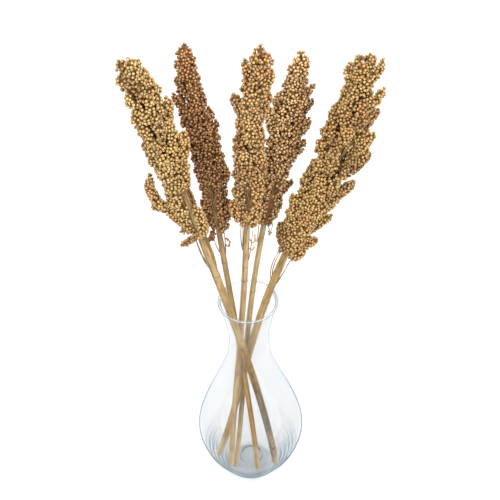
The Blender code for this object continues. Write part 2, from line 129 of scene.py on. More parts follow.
floor_mesh = bmesh.new()
bmesh.ops.create_grid(floor_mesh, x_segments=2, y_segments=2, size=FLOOR_SIZE / 2)
floor = add_object("floor", mesh_from(floor_mesh, "floor"))
floor_paint, floor_tree, floor_shader = new_material("floor_paint")
floor_shader.inputs["Base Color"].default_value = FLOOR_COLOUR
floor_shader.inputs["Roughness"].default_value = 0.9
floor_shader.inputs["Specular IOR Level"].default_value = 0.1
floor.data.materials.append(floor_paint)

sky = bpy.data.worlds.new("sky")
sky.use_nodes = True
sky_way = add_node(sky.node_tree, "ShaderNodeTexCoord").outputs["Generated"]
sky_height = add_node(sky.node_tree, "ShaderNodeSeparateXYZ", [("Vector", sky_way)]).outputs["Z"]
sky_shade = add_node(sky.node_tree, "ShaderNodeValToRGB", [("Fac", sky_height)])
for stop, (rise, colour) in zip(sky_shade.color_ramp.elements, SKY_STOPS):
    stop.position = rise
    stop.color = colour
sky.node_tree.links.new(sky_shade.outputs["Color"], sky.node_tree.nodes["Background"].inputs["Color"])
scene.world = sky

for lamp_name, lamp_place, lamp_width, lamp_power in LAMPS:
    lamp_data = bpy.data.lights.new(lamp_name, "AREA")
    lamp_data.size = lamp_width
    lamp_data.energy = lamp_power
    lamp = bpy.data.objects.new(lamp_name, lamp_data)
    lamp.location = lamp_place
    lamp.rotation_euler = (LAMP_TARGET - lamp.location).to_track_quat("-Z", "Y").to_euler()
    scene.collection.objects.link(lamp)

# Vase: one blown and turned piece of clear glass with a fire-polished rim. Its foot is thick,
# and a bell of glass rises from the floor inside it. It stands free on its flat underside.
VASE_OUTLINE = (
    (0.0, 0.0287), (0.015, 0.0393), (0.049, 0.0587), (0.085, 0.0664), (0.128, 0.0561),
    (0.170, 0.0402), (0.206, 0.0284), (0.243, 0.0240), (0.279, 0.0293), (0.304, 0.0357),
)
VASE_STEPS_BETWEEN = 24
VASE_SEGMENTS = 96
VASE_WALL = 0.003
VASE_FLOOR = 0.0105
FLOOR_CORNER = 0.0015
FOOT_CORNER = ((0.0006, 0.0002), (0.0, 0.0010))
BELL_RADIUS = 0.015
BELL_HEIGHT = 0.027
BELL_STEPS = 10
RIM_STEPS = 8
# Faint rings that blowing left in the thick lower bowl.
BLOW_RINGS_HEIGHT = 0.070
BLOW_RING_DEPTH = 0.0005
BLOW_RING_PITCH = 0.0065
GLASS_IOR = 1.5
# How the clear film darkens light from face on to edge on, low in the bowl, in the neck and at the rim:
# a faint tint face on, then painted edge shade towards the edges, standing in for the darker surroundings
# that the bent glass shows there.
BOWL_TINT_AND_EDGE_SHADE = ((0.0, (0.946, 0.946, 0.944, 1)), (0.75, (0.945, 0.948, 0.950, 1)),
              (1.0, (0.05, 0.12, 0.17, 1)))
NECK_TINT_AND_EDGE_SHADE = ((0.0, (0.958, 0.958, 0.957, 1)), (0.76, (0.952, 0.954, 0.956, 1)),
              (1.0, (0.56, 0.64, 0.68, 1)))
RIM_EDGE_SHADE = ((0.12, (0.84, 0.89, 0.92, 1)), (0.55, (0.12, 0.24, 0.32, 1)))
BOWL_TO_NECK = (0.060, 0.150)
RIM_HEIGHTS = (0.3005, 0.3020)
# A painted highlight in the rim's core: a pale diffuse share, strongest face on.
RIM_HIGHLIGHT = (0.90, 0.94, 0.96, 1.0)
RIM_HIGHLIGHT_SHARE = 0.20
# The painted edge shade on the inner wall is much weaker than on the outer wall.
INNER_EDGE_SHADE = 0.80
# Painted shade: dark streaks on the bowl's lower flanks, only where the wall turns away, standing in for the
# dark that the blown rings bend into view.
STREAK_SCALE = 36.0
STREAK_SHADE_COLOUR = (0.16, 0.32, 0.42, 1)
STREAK_FACING = (0.32, 0.56)
STREAK_HEIGHTS = (0.054, 0.036)
# The thin wall lets light straight through; the thick bowl, the foot and the rim bend it more.
# These are shares of light that goes straight, by height.
STRAIGHT_SHARES = ((0.010, 0.70), (0.018, 0.72), (0.040, 0.76), (0.060, 0.94), (0.2995, 0.93),
                   (0.3015, 0.68))
GLASS_COLOUR = (0.97, 0.98, 0.99, 1.0)
GLASS_DEPTH_COLOUR = (0.62, 0.77, 0.84, 1.0)
GLASS_DEPTH_DENSITY = 3.0


def smooth_outline(points, steps):
    """Points on a smooth line through the outline, ends kept."""
    padded = [points[0], *points, points[-1]]
    line = []
    for a, b, c, d in zip(padded, padded[1:], padded[2:], padded[3:]):
        for step in range(steps):
            t = step / steps
            line.append(tuple(
                0.5 * (2 * b[k] + (c[k] - a[k]) * t + (2 * a[k] - 5 * b[k] + 4 * c[k] - d[k]) * t ** 2
                       + (3 * b[k] - a[k] - 3 * c[k] + d[k]) * t ** 3) for k in (0, 1)))
    line.append(points[-1])
    return line


def vase_section():
    """The glass in section, as (radius, height), from the bell's top round to the underside."""
    widest = max(radius for height, radius in VASE_OUTLINE)
    outside = [(height, min(radius, widest))
               for height, radius in smooth_outline(VASE_OUTLINE, VASE_STEPS_BETWEEN)]
    inside = []
    for before, here, after in zip([outside[0], *outside], outside, [*outside[1:], outside[-1]]):
        slope = Vector((after[0] - before[0], after[1] - before[1])).normalized()
        height = here[0] + slope.y * VASE_WALL
        if VASE_FLOOR + 0.002 < height < VASE_OUTLINE[-1][0] - VASE_WALL / 2:
            fade = max(0.0, 1 - (height - VASE_FLOOR) / BLOW_RINGS_HEIGHT)
            ring = BLOW_RING_DEPTH * fade * (1 + math.sin(math.tau * height / BLOW_RING_PITCH))
            inside.append((height, here[1] - slope.x * VASE_WALL - ring))
    bell = []
    for step in range(BELL_STEPS + 1):
        swing = 0.5 * math.pi * (1 - step / BELL_STEPS)
        bell.append((VASE_FLOOR + (BELL_HEIGHT - VASE_FLOOR) * math.sin(swing),
                     BELL_RADIUS * math.cos(swing)))
    top, rim_radius = VASE_OUTLINE[-1]
    rim = []
    for step in range(RIM_STEPS + 1):
        swing = math.pi * (1 - step / RIM_STEPS)
        rim.append((top - VASE_WALL / 2 + math.sin(swing) * VASE_WALL / 2,
                    rim_radius - VASE_WALL / 2 + math.cos(swing) * VASE_WALL / 2))
    floor_edge = (VASE_FLOOR, inside[0][1] - FLOOR_CORNER)
    down = [point for point in outside[::-1] if 0.001 < point[0] < top - VASE_WALL / 2 - 0.001]
    foot = [(height, VASE_OUTLINE[0][1] - cut) for height, cut in FOOT_CORNER]
    section = [*bell, floor_edge, *inside, *rim, *down, *foot, (0.0, 0.0)]
    return [(radius, height) for height, radius in section]


def points_of(mesh):
    found = np.zeros(len(mesh.vertices) * 3, np.float32)
    mesh.vertices.foreach_get("co", found)
    return found.reshape(-1, 3).astype(float)


vase_bm = bmesh.new()
vase_line = [vase_bm.verts.new((radius, 0.0, height)) for radius, height in vase_section()]
vase_edges = [vase_bm.edges.new(pair) for pair in zip(vase_line, vase_line[1:])]
bmesh.ops.spin(vase_bm, geom=vase_line + vase_edges, cent=(0, 0, 0), axis=(0, 0, 1),
               angle=math.tau, steps=VASE_SEGMENTS, use_merge=True)
bmesh.ops.remove_doubles(vase_bm, verts=vase_bm.verts, dist=0.00001)
bmesh.ops.recalc_face_normals(vase_bm, faces=vase_bm.faces)
vase = add_object("vase_glass", mesh_from(vase_bm, "vase_glass"))
vase.data.shade_smooth()
# Which side of the wall each point is on: 1 outside, 0 inside.
vase_normals = np.empty(3 * len(vase.data.vertices))
vase.data.vertices.foreach_get("normal", vase_normals)
vase_outward = (vase_normals.reshape(-1, 3) * points_of(vase.data))[:, :2].sum(axis=1) > 0
outside_layer = vase.data.attributes.new("outside", "FLOAT", "POINT")
outside_layer.data.foreach_set("value", vase_outward.astype(np.float32))


def multiply(tree, colour, factor):
    """The colour darkened by a factor that changes over the surface."""
    mixed = add_node(tree, "ShaderNodeMix", data_type="RGBA", blend_type="MULTIPLY")
    mixed.inputs[0].default_value = 1.0
    tree.links.new(colour, mixed.inputs[6])
    tree.links.new(factor, mixed.inputs[7])
    return mixed.outputs[2]


def blended(tree, factor, colour, other):
    """From colour to other by a factor; the colours are values or outputs."""
    mixed = add_node(tree, "ShaderNodeMix", data_type="RGBA")
    for socket, value in ((0, factor), (6, colour), (7, other)):
        if isinstance(value, bpy.types.NodeSocket):
            tree.links.new(value, mixed.inputs[socket])
        else:
            mixed.inputs[socket].default_value = value
    return mixed.outputs[2]


def ramp(tree, value, stops):
    """Colours by (position, colour) stops."""
    node = add_node(tree, "ShaderNodeValToRGB", [("Fac", value)])
    elements = node.color_ramp.elements
    while len(elements) < len(stops):
        elements.new(1.0)
    for element, (position, colour) in zip(elements, stops):
        element.position = position
        element.color = colour
    return node.outputs["Color"]


def in_range(tree, value, low, high, to_low=0.0, to_high=1.0):
    node = add_node(tree, "ShaderNodeMapRange",
                    [("Value", value), ("From Min", low), ("From Max", high),
                     ("To Min", to_low), ("To Max", to_high)])
    return node.outputs["Result"]


def reckoned(tree, operation, *values):
    """The result of one sum; the values are numbers or outputs."""
    return add_node(tree, "ShaderNodeMath", enumerate(values), operation=operation).outputs[0]


glass, glass_tree, glass_shader = new_material("clear_glass")
glass_place = add_node(glass_tree, "ShaderNodeTexCoord").outputs["Object"]
glass_stretch = add_node(glass_tree, "ShaderNodeMapping", [("Vector", glass_place), ("Scale", (9, 9, 60))])
glass_waves = add_node(glass_tree, "ShaderNodeTexNoise",
                       [("Vector", glass_stretch.outputs["Vector"]), ("Scale", 1.0), ("Detail", 2.0)])
glass_bump = add_node(glass_tree, "ShaderNodeBump",
                      [("Height", glass_waves.outputs["Fac"]), ("Strength", 0.05), ("Distance", 0.001)])
glass_height = add_node(glass_tree, "ShaderNodeSeparateXYZ", [("Vector", glass_place)]).outputs["Z"]
glass_outside = add_node(glass_tree, "ShaderNodeAttribute", attribute_name="outside").outputs["Fac"]
glass_facing = add_node(glass_tree, "ShaderNodeLayerWeight", [("Blend", 0.5)]).outputs["Facing"]
# Painted edge shade: how far each face turns away, weaker on the inner wall, sets how dark the film is.
glass_edge = reckoned(glass_tree, "MULTIPLY", glass_facing,
                      in_range(glass_tree, glass_outside, 0.0, 1.0, INNER_EDGE_SHADE, 1.0))
glass_tint_and_shade = blended(glass_tree, in_range(glass_tree, glass_height, *BOWL_TO_NECK),
                     ramp(glass_tree, glass_edge, BOWL_TINT_AND_EDGE_SHADE), ramp(glass_tree, glass_edge, NECK_TINT_AND_EDGE_SHADE))
rim_mask = in_range(glass_tree, glass_height, *RIM_HEIGHTS)
glass_tint_and_shade = blended(glass_tree, rim_mask, glass_tint_and_shade, ramp(glass_tree, glass_facing, RIM_EDGE_SHADE))
# Painted shade in streaks on the lower bowl.
glass_streaks = add_node(glass_tree, "ShaderNodeTexWave",
                         [("Vector", glass_place), ("Scale", STREAK_SCALE), ("Distortion", 0.5),
                          ("Detail", 2.0), ("Detail Scale", 9.0)], bands_direction="Z")
streak_shade_share = in_range(glass_tree, glass_streaks.outputs["Fac"], 0.60, 0.80)
for mask in (in_range(glass_tree, glass_facing, *STREAK_FACING),
             in_range(glass_tree, glass_height, *STREAK_HEIGHTS)):
    streak_shade_share = reckoned(glass_tree, "MULTIPLY", streak_shade_share, mask)
glass_tint_and_shade = blended(glass_tree, streak_shade_share, glass_tint_and_shade, STREAK_SHADE_COLOUR)
glass_shader.inputs["Base Color"].default_value = GLASS_COLOUR
glass_shader.inputs["Transmission Weight"].default_value = 1.0
glass_shader.inputs["IOR"].default_value = GLASS_IOR
glass_tree.links.new(in_range(glass_tree, glass_waves.outputs["Fac"], 0.0, 1.0, 0.0, 0.012),
                     glass_shader.inputs["Roughness"])
glass_tree.links.new(glass_bump.outputs["Normal"], glass_shader.inputs["Normal"])
height_share = in_range(glass_tree, glass_height, 0.0, VASE_OUTLINE[-1][0])
straight_share = ramp(glass_tree, height_share, [(height / VASE_OUTLINE[-1][0], (share, share, share, 1))
                                                 for height, share in STRAIGHT_SHARES])
lamp_rays = add_node(glass_tree, "ShaderNodeLightPath").outputs["Is Shadow Ray"]
glass_straight = reckoned(glass_tree, "MAXIMUM", straight_share, lamp_rays)
glass_film = add_node(glass_tree, "ShaderNodeBsdfTransparent", [("Color", glass_tint_and_shade)])
glass_mix = add_node(glass_tree, "ShaderNodeMixShader",
                     [(0, glass_straight), (1, glass_shader.outputs[0]), (2, glass_film.outputs[0])])
# Painted highlight: a pale diffuse share in the rim, strongest face on.
rim_highlight = add_node(glass_tree, "ShaderNodeBsdfDiffuse", [("Color", RIM_HIGHLIGHT)])
rim_highlight_share = reckoned(glass_tree, "MULTIPLY", rim_mask,
                      in_range(glass_tree, glass_facing, 0.5, 0.1, 0.0, RIM_HIGHLIGHT_SHARE))
glass_rim = add_node(glass_tree, "ShaderNodeMixShader",
                     [(0, rim_highlight_share), (1, glass_mix.outputs[0]), (2, rim_highlight.outputs[0])])
glass_output = glass_tree.nodes["Material Output"]
glass_tree.links.new(glass_rim.outputs[0], glass_output.inputs["Surface"])
glass_depth = add_node(glass_tree, "ShaderNodeVolumeAbsorption",
                       [("Color", GLASS_DEPTH_COLOUR), ("Density", GLASS_DEPTH_DENSITY)])
glass_tree.links.new(glass_depth.outputs[0], glass_output.inputs["Volume"])
vase.data.materials.append(glass)
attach(vase, "root")
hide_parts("vase")

# Straw: five dried stems, cut square at the foot, with a joint ring or two, leaning in the vase.
# Each goes on inside its head as a fluted axis, so it is grown in one piece with what it carries.
# A route is five points from foot to head tip; "mass" is where the seed head starts and ends.
STEMS = {
    1: {"route": ((0.031, -0.021, 0.026), (-0.009, -0.013, 0.245), (-0.041, -0.016, 0.385),
                  (-0.074, -0.024, 0.525), (-0.112, -0.037, 0.674)),
        "radius": 0.0046, "rings": (0.362,), "mass": (0.412, 0.679)},
    2: {"route": ((0.008, -0.020, 0.013), (-0.014, 0.005, 0.245), (-0.030, 0.020, 0.385),
                  (-0.046, 0.033, 0.525), (-0.060, 0.050, 0.631)),
        "radius": 0.0034, "rings": (0.352,), "mass": (0.390, 0.635)},
    3: {"route": ((-0.026, -0.026, 0.029), (-0.010, -0.004, 0.245), (-0.001, 0.0, 0.385),
                  (0.005, -0.010, 0.525), (0.019, -0.022, 0.674)),
        "radius": 0.0036, "rings": (0.338, 0.360), "mass": (0.420, 0.677)},
    4: {"route": ((-0.021, -0.016, 0.012), (0.0, 0.017, 0.245), (0.018, 0.028, 0.385),
                  (0.045, 0.043, 0.525), (0.063, 0.047, 0.616)),
        "radius": 0.0033, "rings": (0.300,), "mass": (0.392, 0.620)},
    5: {"route": ((-0.042, -0.012, 0.034), (0.009, 0.009, 0.245), (0.051, 0.013, 0.385),
                  (0.101, 0.013, 0.525), (0.122, 0.014, 0.636)),
        "radius": 0.0045, "rings": (0.292,), "mass": (0.358, 0.641)},
}
# The straw's colours up each stem, as (height, red, green, blue) in screen values of 0 to 255.
# The pale stops at each foot are painted light for the haze of the thick glass base, and the lighter stops
# at the top, inside the heads, are painted light that lifts the shade there; the rest is the straw's own
# colour.
STRAW_COLOURS_AND_PAINTED_LIGHT = {
    1: ((0.026, 196, 164, 112), (0.046, 150, 124, 84), (0.060, 168, 142, 96), (0.074, 200, 160, 90),
        (0.090, 118, 100, 66), (0.150, 140, 116, 68), (0.190, 176, 132, 66), (0.238, 190, 144, 76),
        (0.252, 204, 172, 118), (0.330, 196, 160, 104), (0.400, 192, 162, 112), (0.560, 200, 170, 118)),
    2: ((0.013, 206, 176, 120), (0.050, 200, 168, 108), (0.062, 178, 126, 54), (0.140, 186, 138, 66),
        (0.200, 192, 158, 100), (0.340, 184, 150, 100), (0.400, 196, 164, 112), (0.440, 210, 176, 122)),
    3: ((0.029, 212, 188, 140), (0.052, 206, 178, 126), (0.060, 184, 148, 88), (0.120, 196, 166, 112),
        (0.240, 190, 156, 104), (0.300, 188, 156, 108), (0.400, 200, 170, 118), (0.450, 214, 182, 128)),
    4: ((0.012, 212, 184, 132), (0.048, 206, 172, 112), (0.058, 190, 156, 96), (0.160, 196, 168, 116),
        (0.240, 204, 176, 122), (0.400, 204, 176, 124), (0.440, 220, 190, 136)),
    5: ((0.034, 208, 186, 142), (0.060, 204, 178, 126), (0.068, 172, 136, 80), (0.140, 194, 164, 108),
        (0.260, 196, 164, 110), (0.310, 190, 154, 96), (0.380, 184, 150, 92), (0.520, 200, 166, 110)),
}
STEM_SIDES_LEVEL = 8
STEM_POINT_SPACING = 0.006
RING_POINT_SPACING = 0.0012
FOOT_THINNING = 0.92
RING_SWELL = 1.06
RING_HALF_LENGTH = 0.0035
AXIS_SHARE = 0.72
AXIS_THINNING = 0.80
AXIS_TIP_THINNING = 0.42
FLUTES = 7
FLUTE_DEPTH = 0.07


def paint(red, green, blue):
    """Screen values of 0 to 255 as a linear colour."""
    return (*[(value / 255) ** 2.2 for value in (red, green, blue)], 1.0)


def on_route(stem, height):
    """Points on a stem's centre line: one polynomial of height through its five points."""
    route = np.array(STEMS[stem]["route"])
    height = np.atleast_1d(np.asarray(height, float))
    place = np.zeros((len(height), 2))
    for index, here in enumerate(route):
        weight = np.ones(len(height))
        for other, there in enumerate(route):
            if other != index:
                weight *= (height - there[2]) / (here[2] - there[2])
        place += weight[:, None] * here[:2]
    return np.column_stack([place, height])


def unit(vectors):
    return vectors / np.linalg.norm(vectors, axis=-1, keepdims=True)


def across_route(stem, height):
    """The two directions square to the stem: right, and back away from the viewer."""
    step = 0.001
    height = np.atleast_1d(np.asarray(height, float))
    along = unit(on_route(stem, height + step) - on_route(stem, height - step))
    right = unit(np.cross((0.0, 1.0, 0.0), along))
    return right, np.cross(along, right)


def beside_route(stem, height, turn, distance):
    """Points at a distance from the stem's centre line, turned about it from its right side."""
    right, back = across_route(stem, height)
    turn = np.broadcast_to(turn, len(right))
    distance = np.broadcast_to(distance, len(right))
    return (on_route(stem, height) + right * (distance * np.cos(turn))[:, None]
            + back * (distance * np.sin(turn))[:, None])


def stem_radius(stem, height):
    """Straw radius: a little slimmer at the cut foot, then thinning inside the head."""
    data = STEMS[stem]
    low, high = data["mass"]
    heights = (data["route"][0][2], data["route"][1][2], low - 0.010, low + 0.030, axis_top(stem))
    shares = (FOOT_THINNING, 1.0, 1.0, AXIS_THINNING, AXIS_TIP_THINNING)
    radius = data["radius"] * np.interp(height, heights, shares)
    for ring in data["rings"]:
        nearness = np.clip(1 - np.abs(np.asarray(height) - ring) / RING_HALF_LENGTH, 0, 1)
        radius = radius * (1 + (RING_SWELL - 1) * nearness ** 2 * (3 - 2 * nearness))
    return radius


def axis_top(stem):
    low, high = STEMS[stem]["mass"]
    return low + (high - low) * AXIS_SHARE


def tubes(name, lines, level):
    """Round bars in one mesh with welded caps; each line is (points, radii)."""
    curve = bpy.data.curves.new(name, "CURVE")
    curve.dimensions = "3D"
    curve.bevel_depth = 1.0
    curve.bevel_resolution = level
    curve.use_fill_caps = True
    for points, radii in lines:
        spline = curve.splines.new("POLY")
        spline.points.add(len(points) - 1)
        spline.points.foreach_set("co", np.column_stack([points, np.ones(len(points))]).ravel())
        spline.points.foreach_set("radius", np.broadcast_to(radii, len(points)).astype(float))
    guide = add_object(name, curve)
    mesh = bpy.data.meshes.new_from_object(guide.evaluated_get(bpy.context.evaluated_depsgraph_get()))
    bpy.data.objects.remove(guide)
    bm = bmesh.new()
    bm.from_mesh(mesh)
    bmesh.ops.remove_doubles(bm, verts=bm.verts, dist=0.00001)
    bmesh.ops.recalc_face_normals(bm, faces=bm.faces)
    bm.to_mesh(mesh)
    bm.free()
    mesh.name = name
    mesh.shade_smooth()
    mesh.set_sharp_from_angle(angle=math.radians(50))
    return add_object(name, mesh)


def straw_pattern():
    """Effect: long fibres, fine dark flecks and blotches that run along the straw's own length."""
    group = bpy.data.node_groups.new("straw_pattern", "ShaderNodeTree")
    for name, kind in (("Place", "NodeSocketVector"), ("Fleck Amount", "NodeSocketFloat")):
        group.interface.new_socket(name, in_out="INPUT", socket_type=kind)
    given = group.nodes.new("NodeGroupInput")
    found = group.nodes.new("NodeGroupOutput")
    # Each pattern: its name, how finely it is drawn across and along the straw, and its detail.
    masks = {}
    for name, scale, detail in (("Fibres", (430, 430, 12), 3.0), ("Flecks", (640, 640, 280), 2.0),
                                ("Mottle", (240, 240, 70), 4.0)):
        group.interface.new_socket(name, in_out="OUTPUT", socket_type="NodeSocketFloat")
        place = add_node(group, "ShaderNodeMapping", [("Vector", given.outputs["Place"]), ("Scale", scale)])
        noise = add_node(group, "ShaderNodeTexNoise",
                         [("Vector", place.outputs[0]), ("Scale", 1.0), ("Detail", detail)])
        masks[name] = noise.outputs["Fac"]
    fleck_edge = reckoned(group, "SUBTRACT", 0.76, given.outputs["Fleck Amount"])
    masks["Flecks"] = in_range(group, masks["Flecks"], fleck_edge, reckoned(group, "ADD", fleck_edge, 0.06))
    for name, mask in masks.items():
        group.links.new(mask, found.inputs[name])
    return group


def dry_finish(tree, shader, colour, pattern, rough, strength, distance):
    """Colour of a dry surface, whose roughness and bump follow one pattern."""
    tree.links.new(colour, shader.inputs["Base Color"])
    tree.links.new(in_range(tree, pattern, *rough), shader.inputs["Roughness"])
    bump = add_node(tree, "ShaderNodeBump",
                    [("Height", pattern), ("Strength", strength), ("Distance", distance)])
    tree.links.new(bump.outputs["Normal"], shader.inputs["Normal"])


STRAW_PATTERN = straw_pattern()
# Where each stem is speckled or mouldy: (from height, to height, fleck amount).
STRAW_FLECKS = {1: ((0.040, 0.110, 0.22), (0.110, 0.245, 0.16), (0.288, 0.316, 0.11)),
                2: ((0.060, 0.140, 0.08),), 3: ((0.250, 0.300, 0.08),),
                4: ((0.100, 0.200, 0.06),), 5: ((0.320, 0.348, 0.12),)}
LEAST_FLECKS = 0.05
FLECK_FADE = 0.006
RING_HALF_LINE = 0.0011


def straw_material(stem):
    made, tree, shader = new_material(f"straw_{stem}")
    place = add_node(tree, "ShaderNodeAttribute", attribute_name="straight").outputs["Vector"]
    height = add_node(tree, "ShaderNodeSeparateXYZ", [("Vector", place)]).outputs["Z"]
    colours = STRAW_COLOURS_AND_PAINTED_LIGHT[stem]
    low = colours[0][0]
    high = colours[-1][0]
    share = in_range(tree, height, low, high)
    # The straw's own colour up the stem, with painted light at its foot and inside the head.
    colour = ramp(tree, share, [((stop[0] - low) / (high - low), paint(*stop[1:])) for stop in colours])
    flecks = LEAST_FLECKS
    for foot, top, amount in STRAW_FLECKS[stem]:
        rise = in_range(tree, height, foot - FLECK_FADE, foot + FLECK_FADE)
        fall = in_range(tree, height, top - FLECK_FADE, top + FLECK_FADE, 1.0, 0.0)
        flecks = reckoned(tree, "MULTIPLY_ADD", reckoned(tree, "MULTIPLY", rise, fall), amount, flecks)
    pattern = add_node(tree, "ShaderNodeGroup", node_tree=STRAW_PATTERN)
    tree.links.new(place, pattern.inputs["Place"])
    tree.links.new(flecks, pattern.inputs["Fleck Amount"])
    fibres = pattern.outputs["Fibres"]
    streaks = ramp(tree, fibres, [(0.32, (0.36, 0.31, 0.26, 1)), (0.47, (0.64, 0.64, 0.64, 1)),
                                  (0.66, (0.78, 0.80, 0.82, 1))])
    blotches = ramp(tree, pattern.outputs["Mottle"], [(0.30, (0.66, 0.58, 0.48, 1)), (0.50, (1, 1, 1, 1)),
                                                      (0.72, (1.12, 1.12, 1.08, 1))])
    colour = multiply(tree, multiply(tree, colour, streaks), blotches)
    for ring in STEMS[stem]["rings"]:
        near = reckoned(tree, "COMPARE", height, ring, RING_HALF_LINE)
        colour = blended(tree, near, colour, multiply(tree, colour, ring_shade(tree)))
    colour = blended(tree, pattern.outputs["Flecks"], colour, paint(56, 42, 27))
    dry_finish(tree, shader, colour, fibres, (0.2, 0.8, 0.62, 0.40), 0.35, 0.0006)
    return made


def ring_shade(tree):
    place = add_node(tree, "ShaderNodeTexCoord").outputs["Object"]
    noise = add_node(tree, "ShaderNodeTexNoise", [("Vector", place), ("Scale", 900.0)])
    return ramp(tree, noise.outputs["Fac"], [(0.35, (0.55, 0.50, 0.45, 1)), (0.65, (0.88, 0.84, 0.78, 1))])


def straighten(stem, mesh):
    """Keep each point's place in the straw's own length, so that fibres follow the stem."""
    points = points_of(mesh)
    right, back = across_route(stem, points[:, 2])
    offset = points - on_route(stem, points[:, 2])
    straight = np.column_stack([(offset * right).sum(1), (offset * back).sum(1), points[:, 2]])
    layer = mesh.attributes.new("straight", "FLOAT_VECTOR", "POINT")
    layer.data.foreach_set("vector", straight.astype(np.float32).ravel())
    return straight


for stem in STEMS:
    foot = STEMS[stem]["route"][0][2]
    heights = np.arange(foot, axis_top(stem), STEM_POINT_SPACING)
    for ring in STEMS[stem]["rings"]:
        heights = heights[np.abs(heights - ring) > RING_HALF_LENGTH + RING_POINT_SPACING]
        near = np.arange(-RING_HALF_LENGTH, RING_HALF_LENGTH + 0.0001, RING_POINT_SPACING / 2)
        heights = np.sort(np.concatenate([heights, ring + near]))
    heights = np.append(heights[heights < axis_top(stem) - 0.002], axis_top(stem))
    straw = tubes(f"straw_{stem}", [(on_route(stem, heights), stem_radius(stem, heights))], STEM_SIDES_LEVEL)
    # Flutes grow inwards where the straw enters the head.
    straight = straighten(stem, straw.data)
    mass_foot = STEMS[stem]["mass"][0]
    fluted = np.interp(straight[:, 2], (mass_foot - 0.060, mass_foot), (0.0, FLUTE_DEPTH))
    turn = np.arctan2(straight[:, 1], straight[:, 0])
    inwards = fluted * (0.5 - 0.5 * np.cos(turn * FLUTES))
    points = points_of(straw.data)
    centres = on_route(stem, points[:, 2])
    points += (centres - points) * inwards[:, None]
    straw.data.vertices.foreach_set("co", points.astype(np.float32).ravel())
    straw.data.update()
    straw.data.materials.append(straw_material(stem))
    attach(straw, "root")
    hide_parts(f"stem_{stem}")

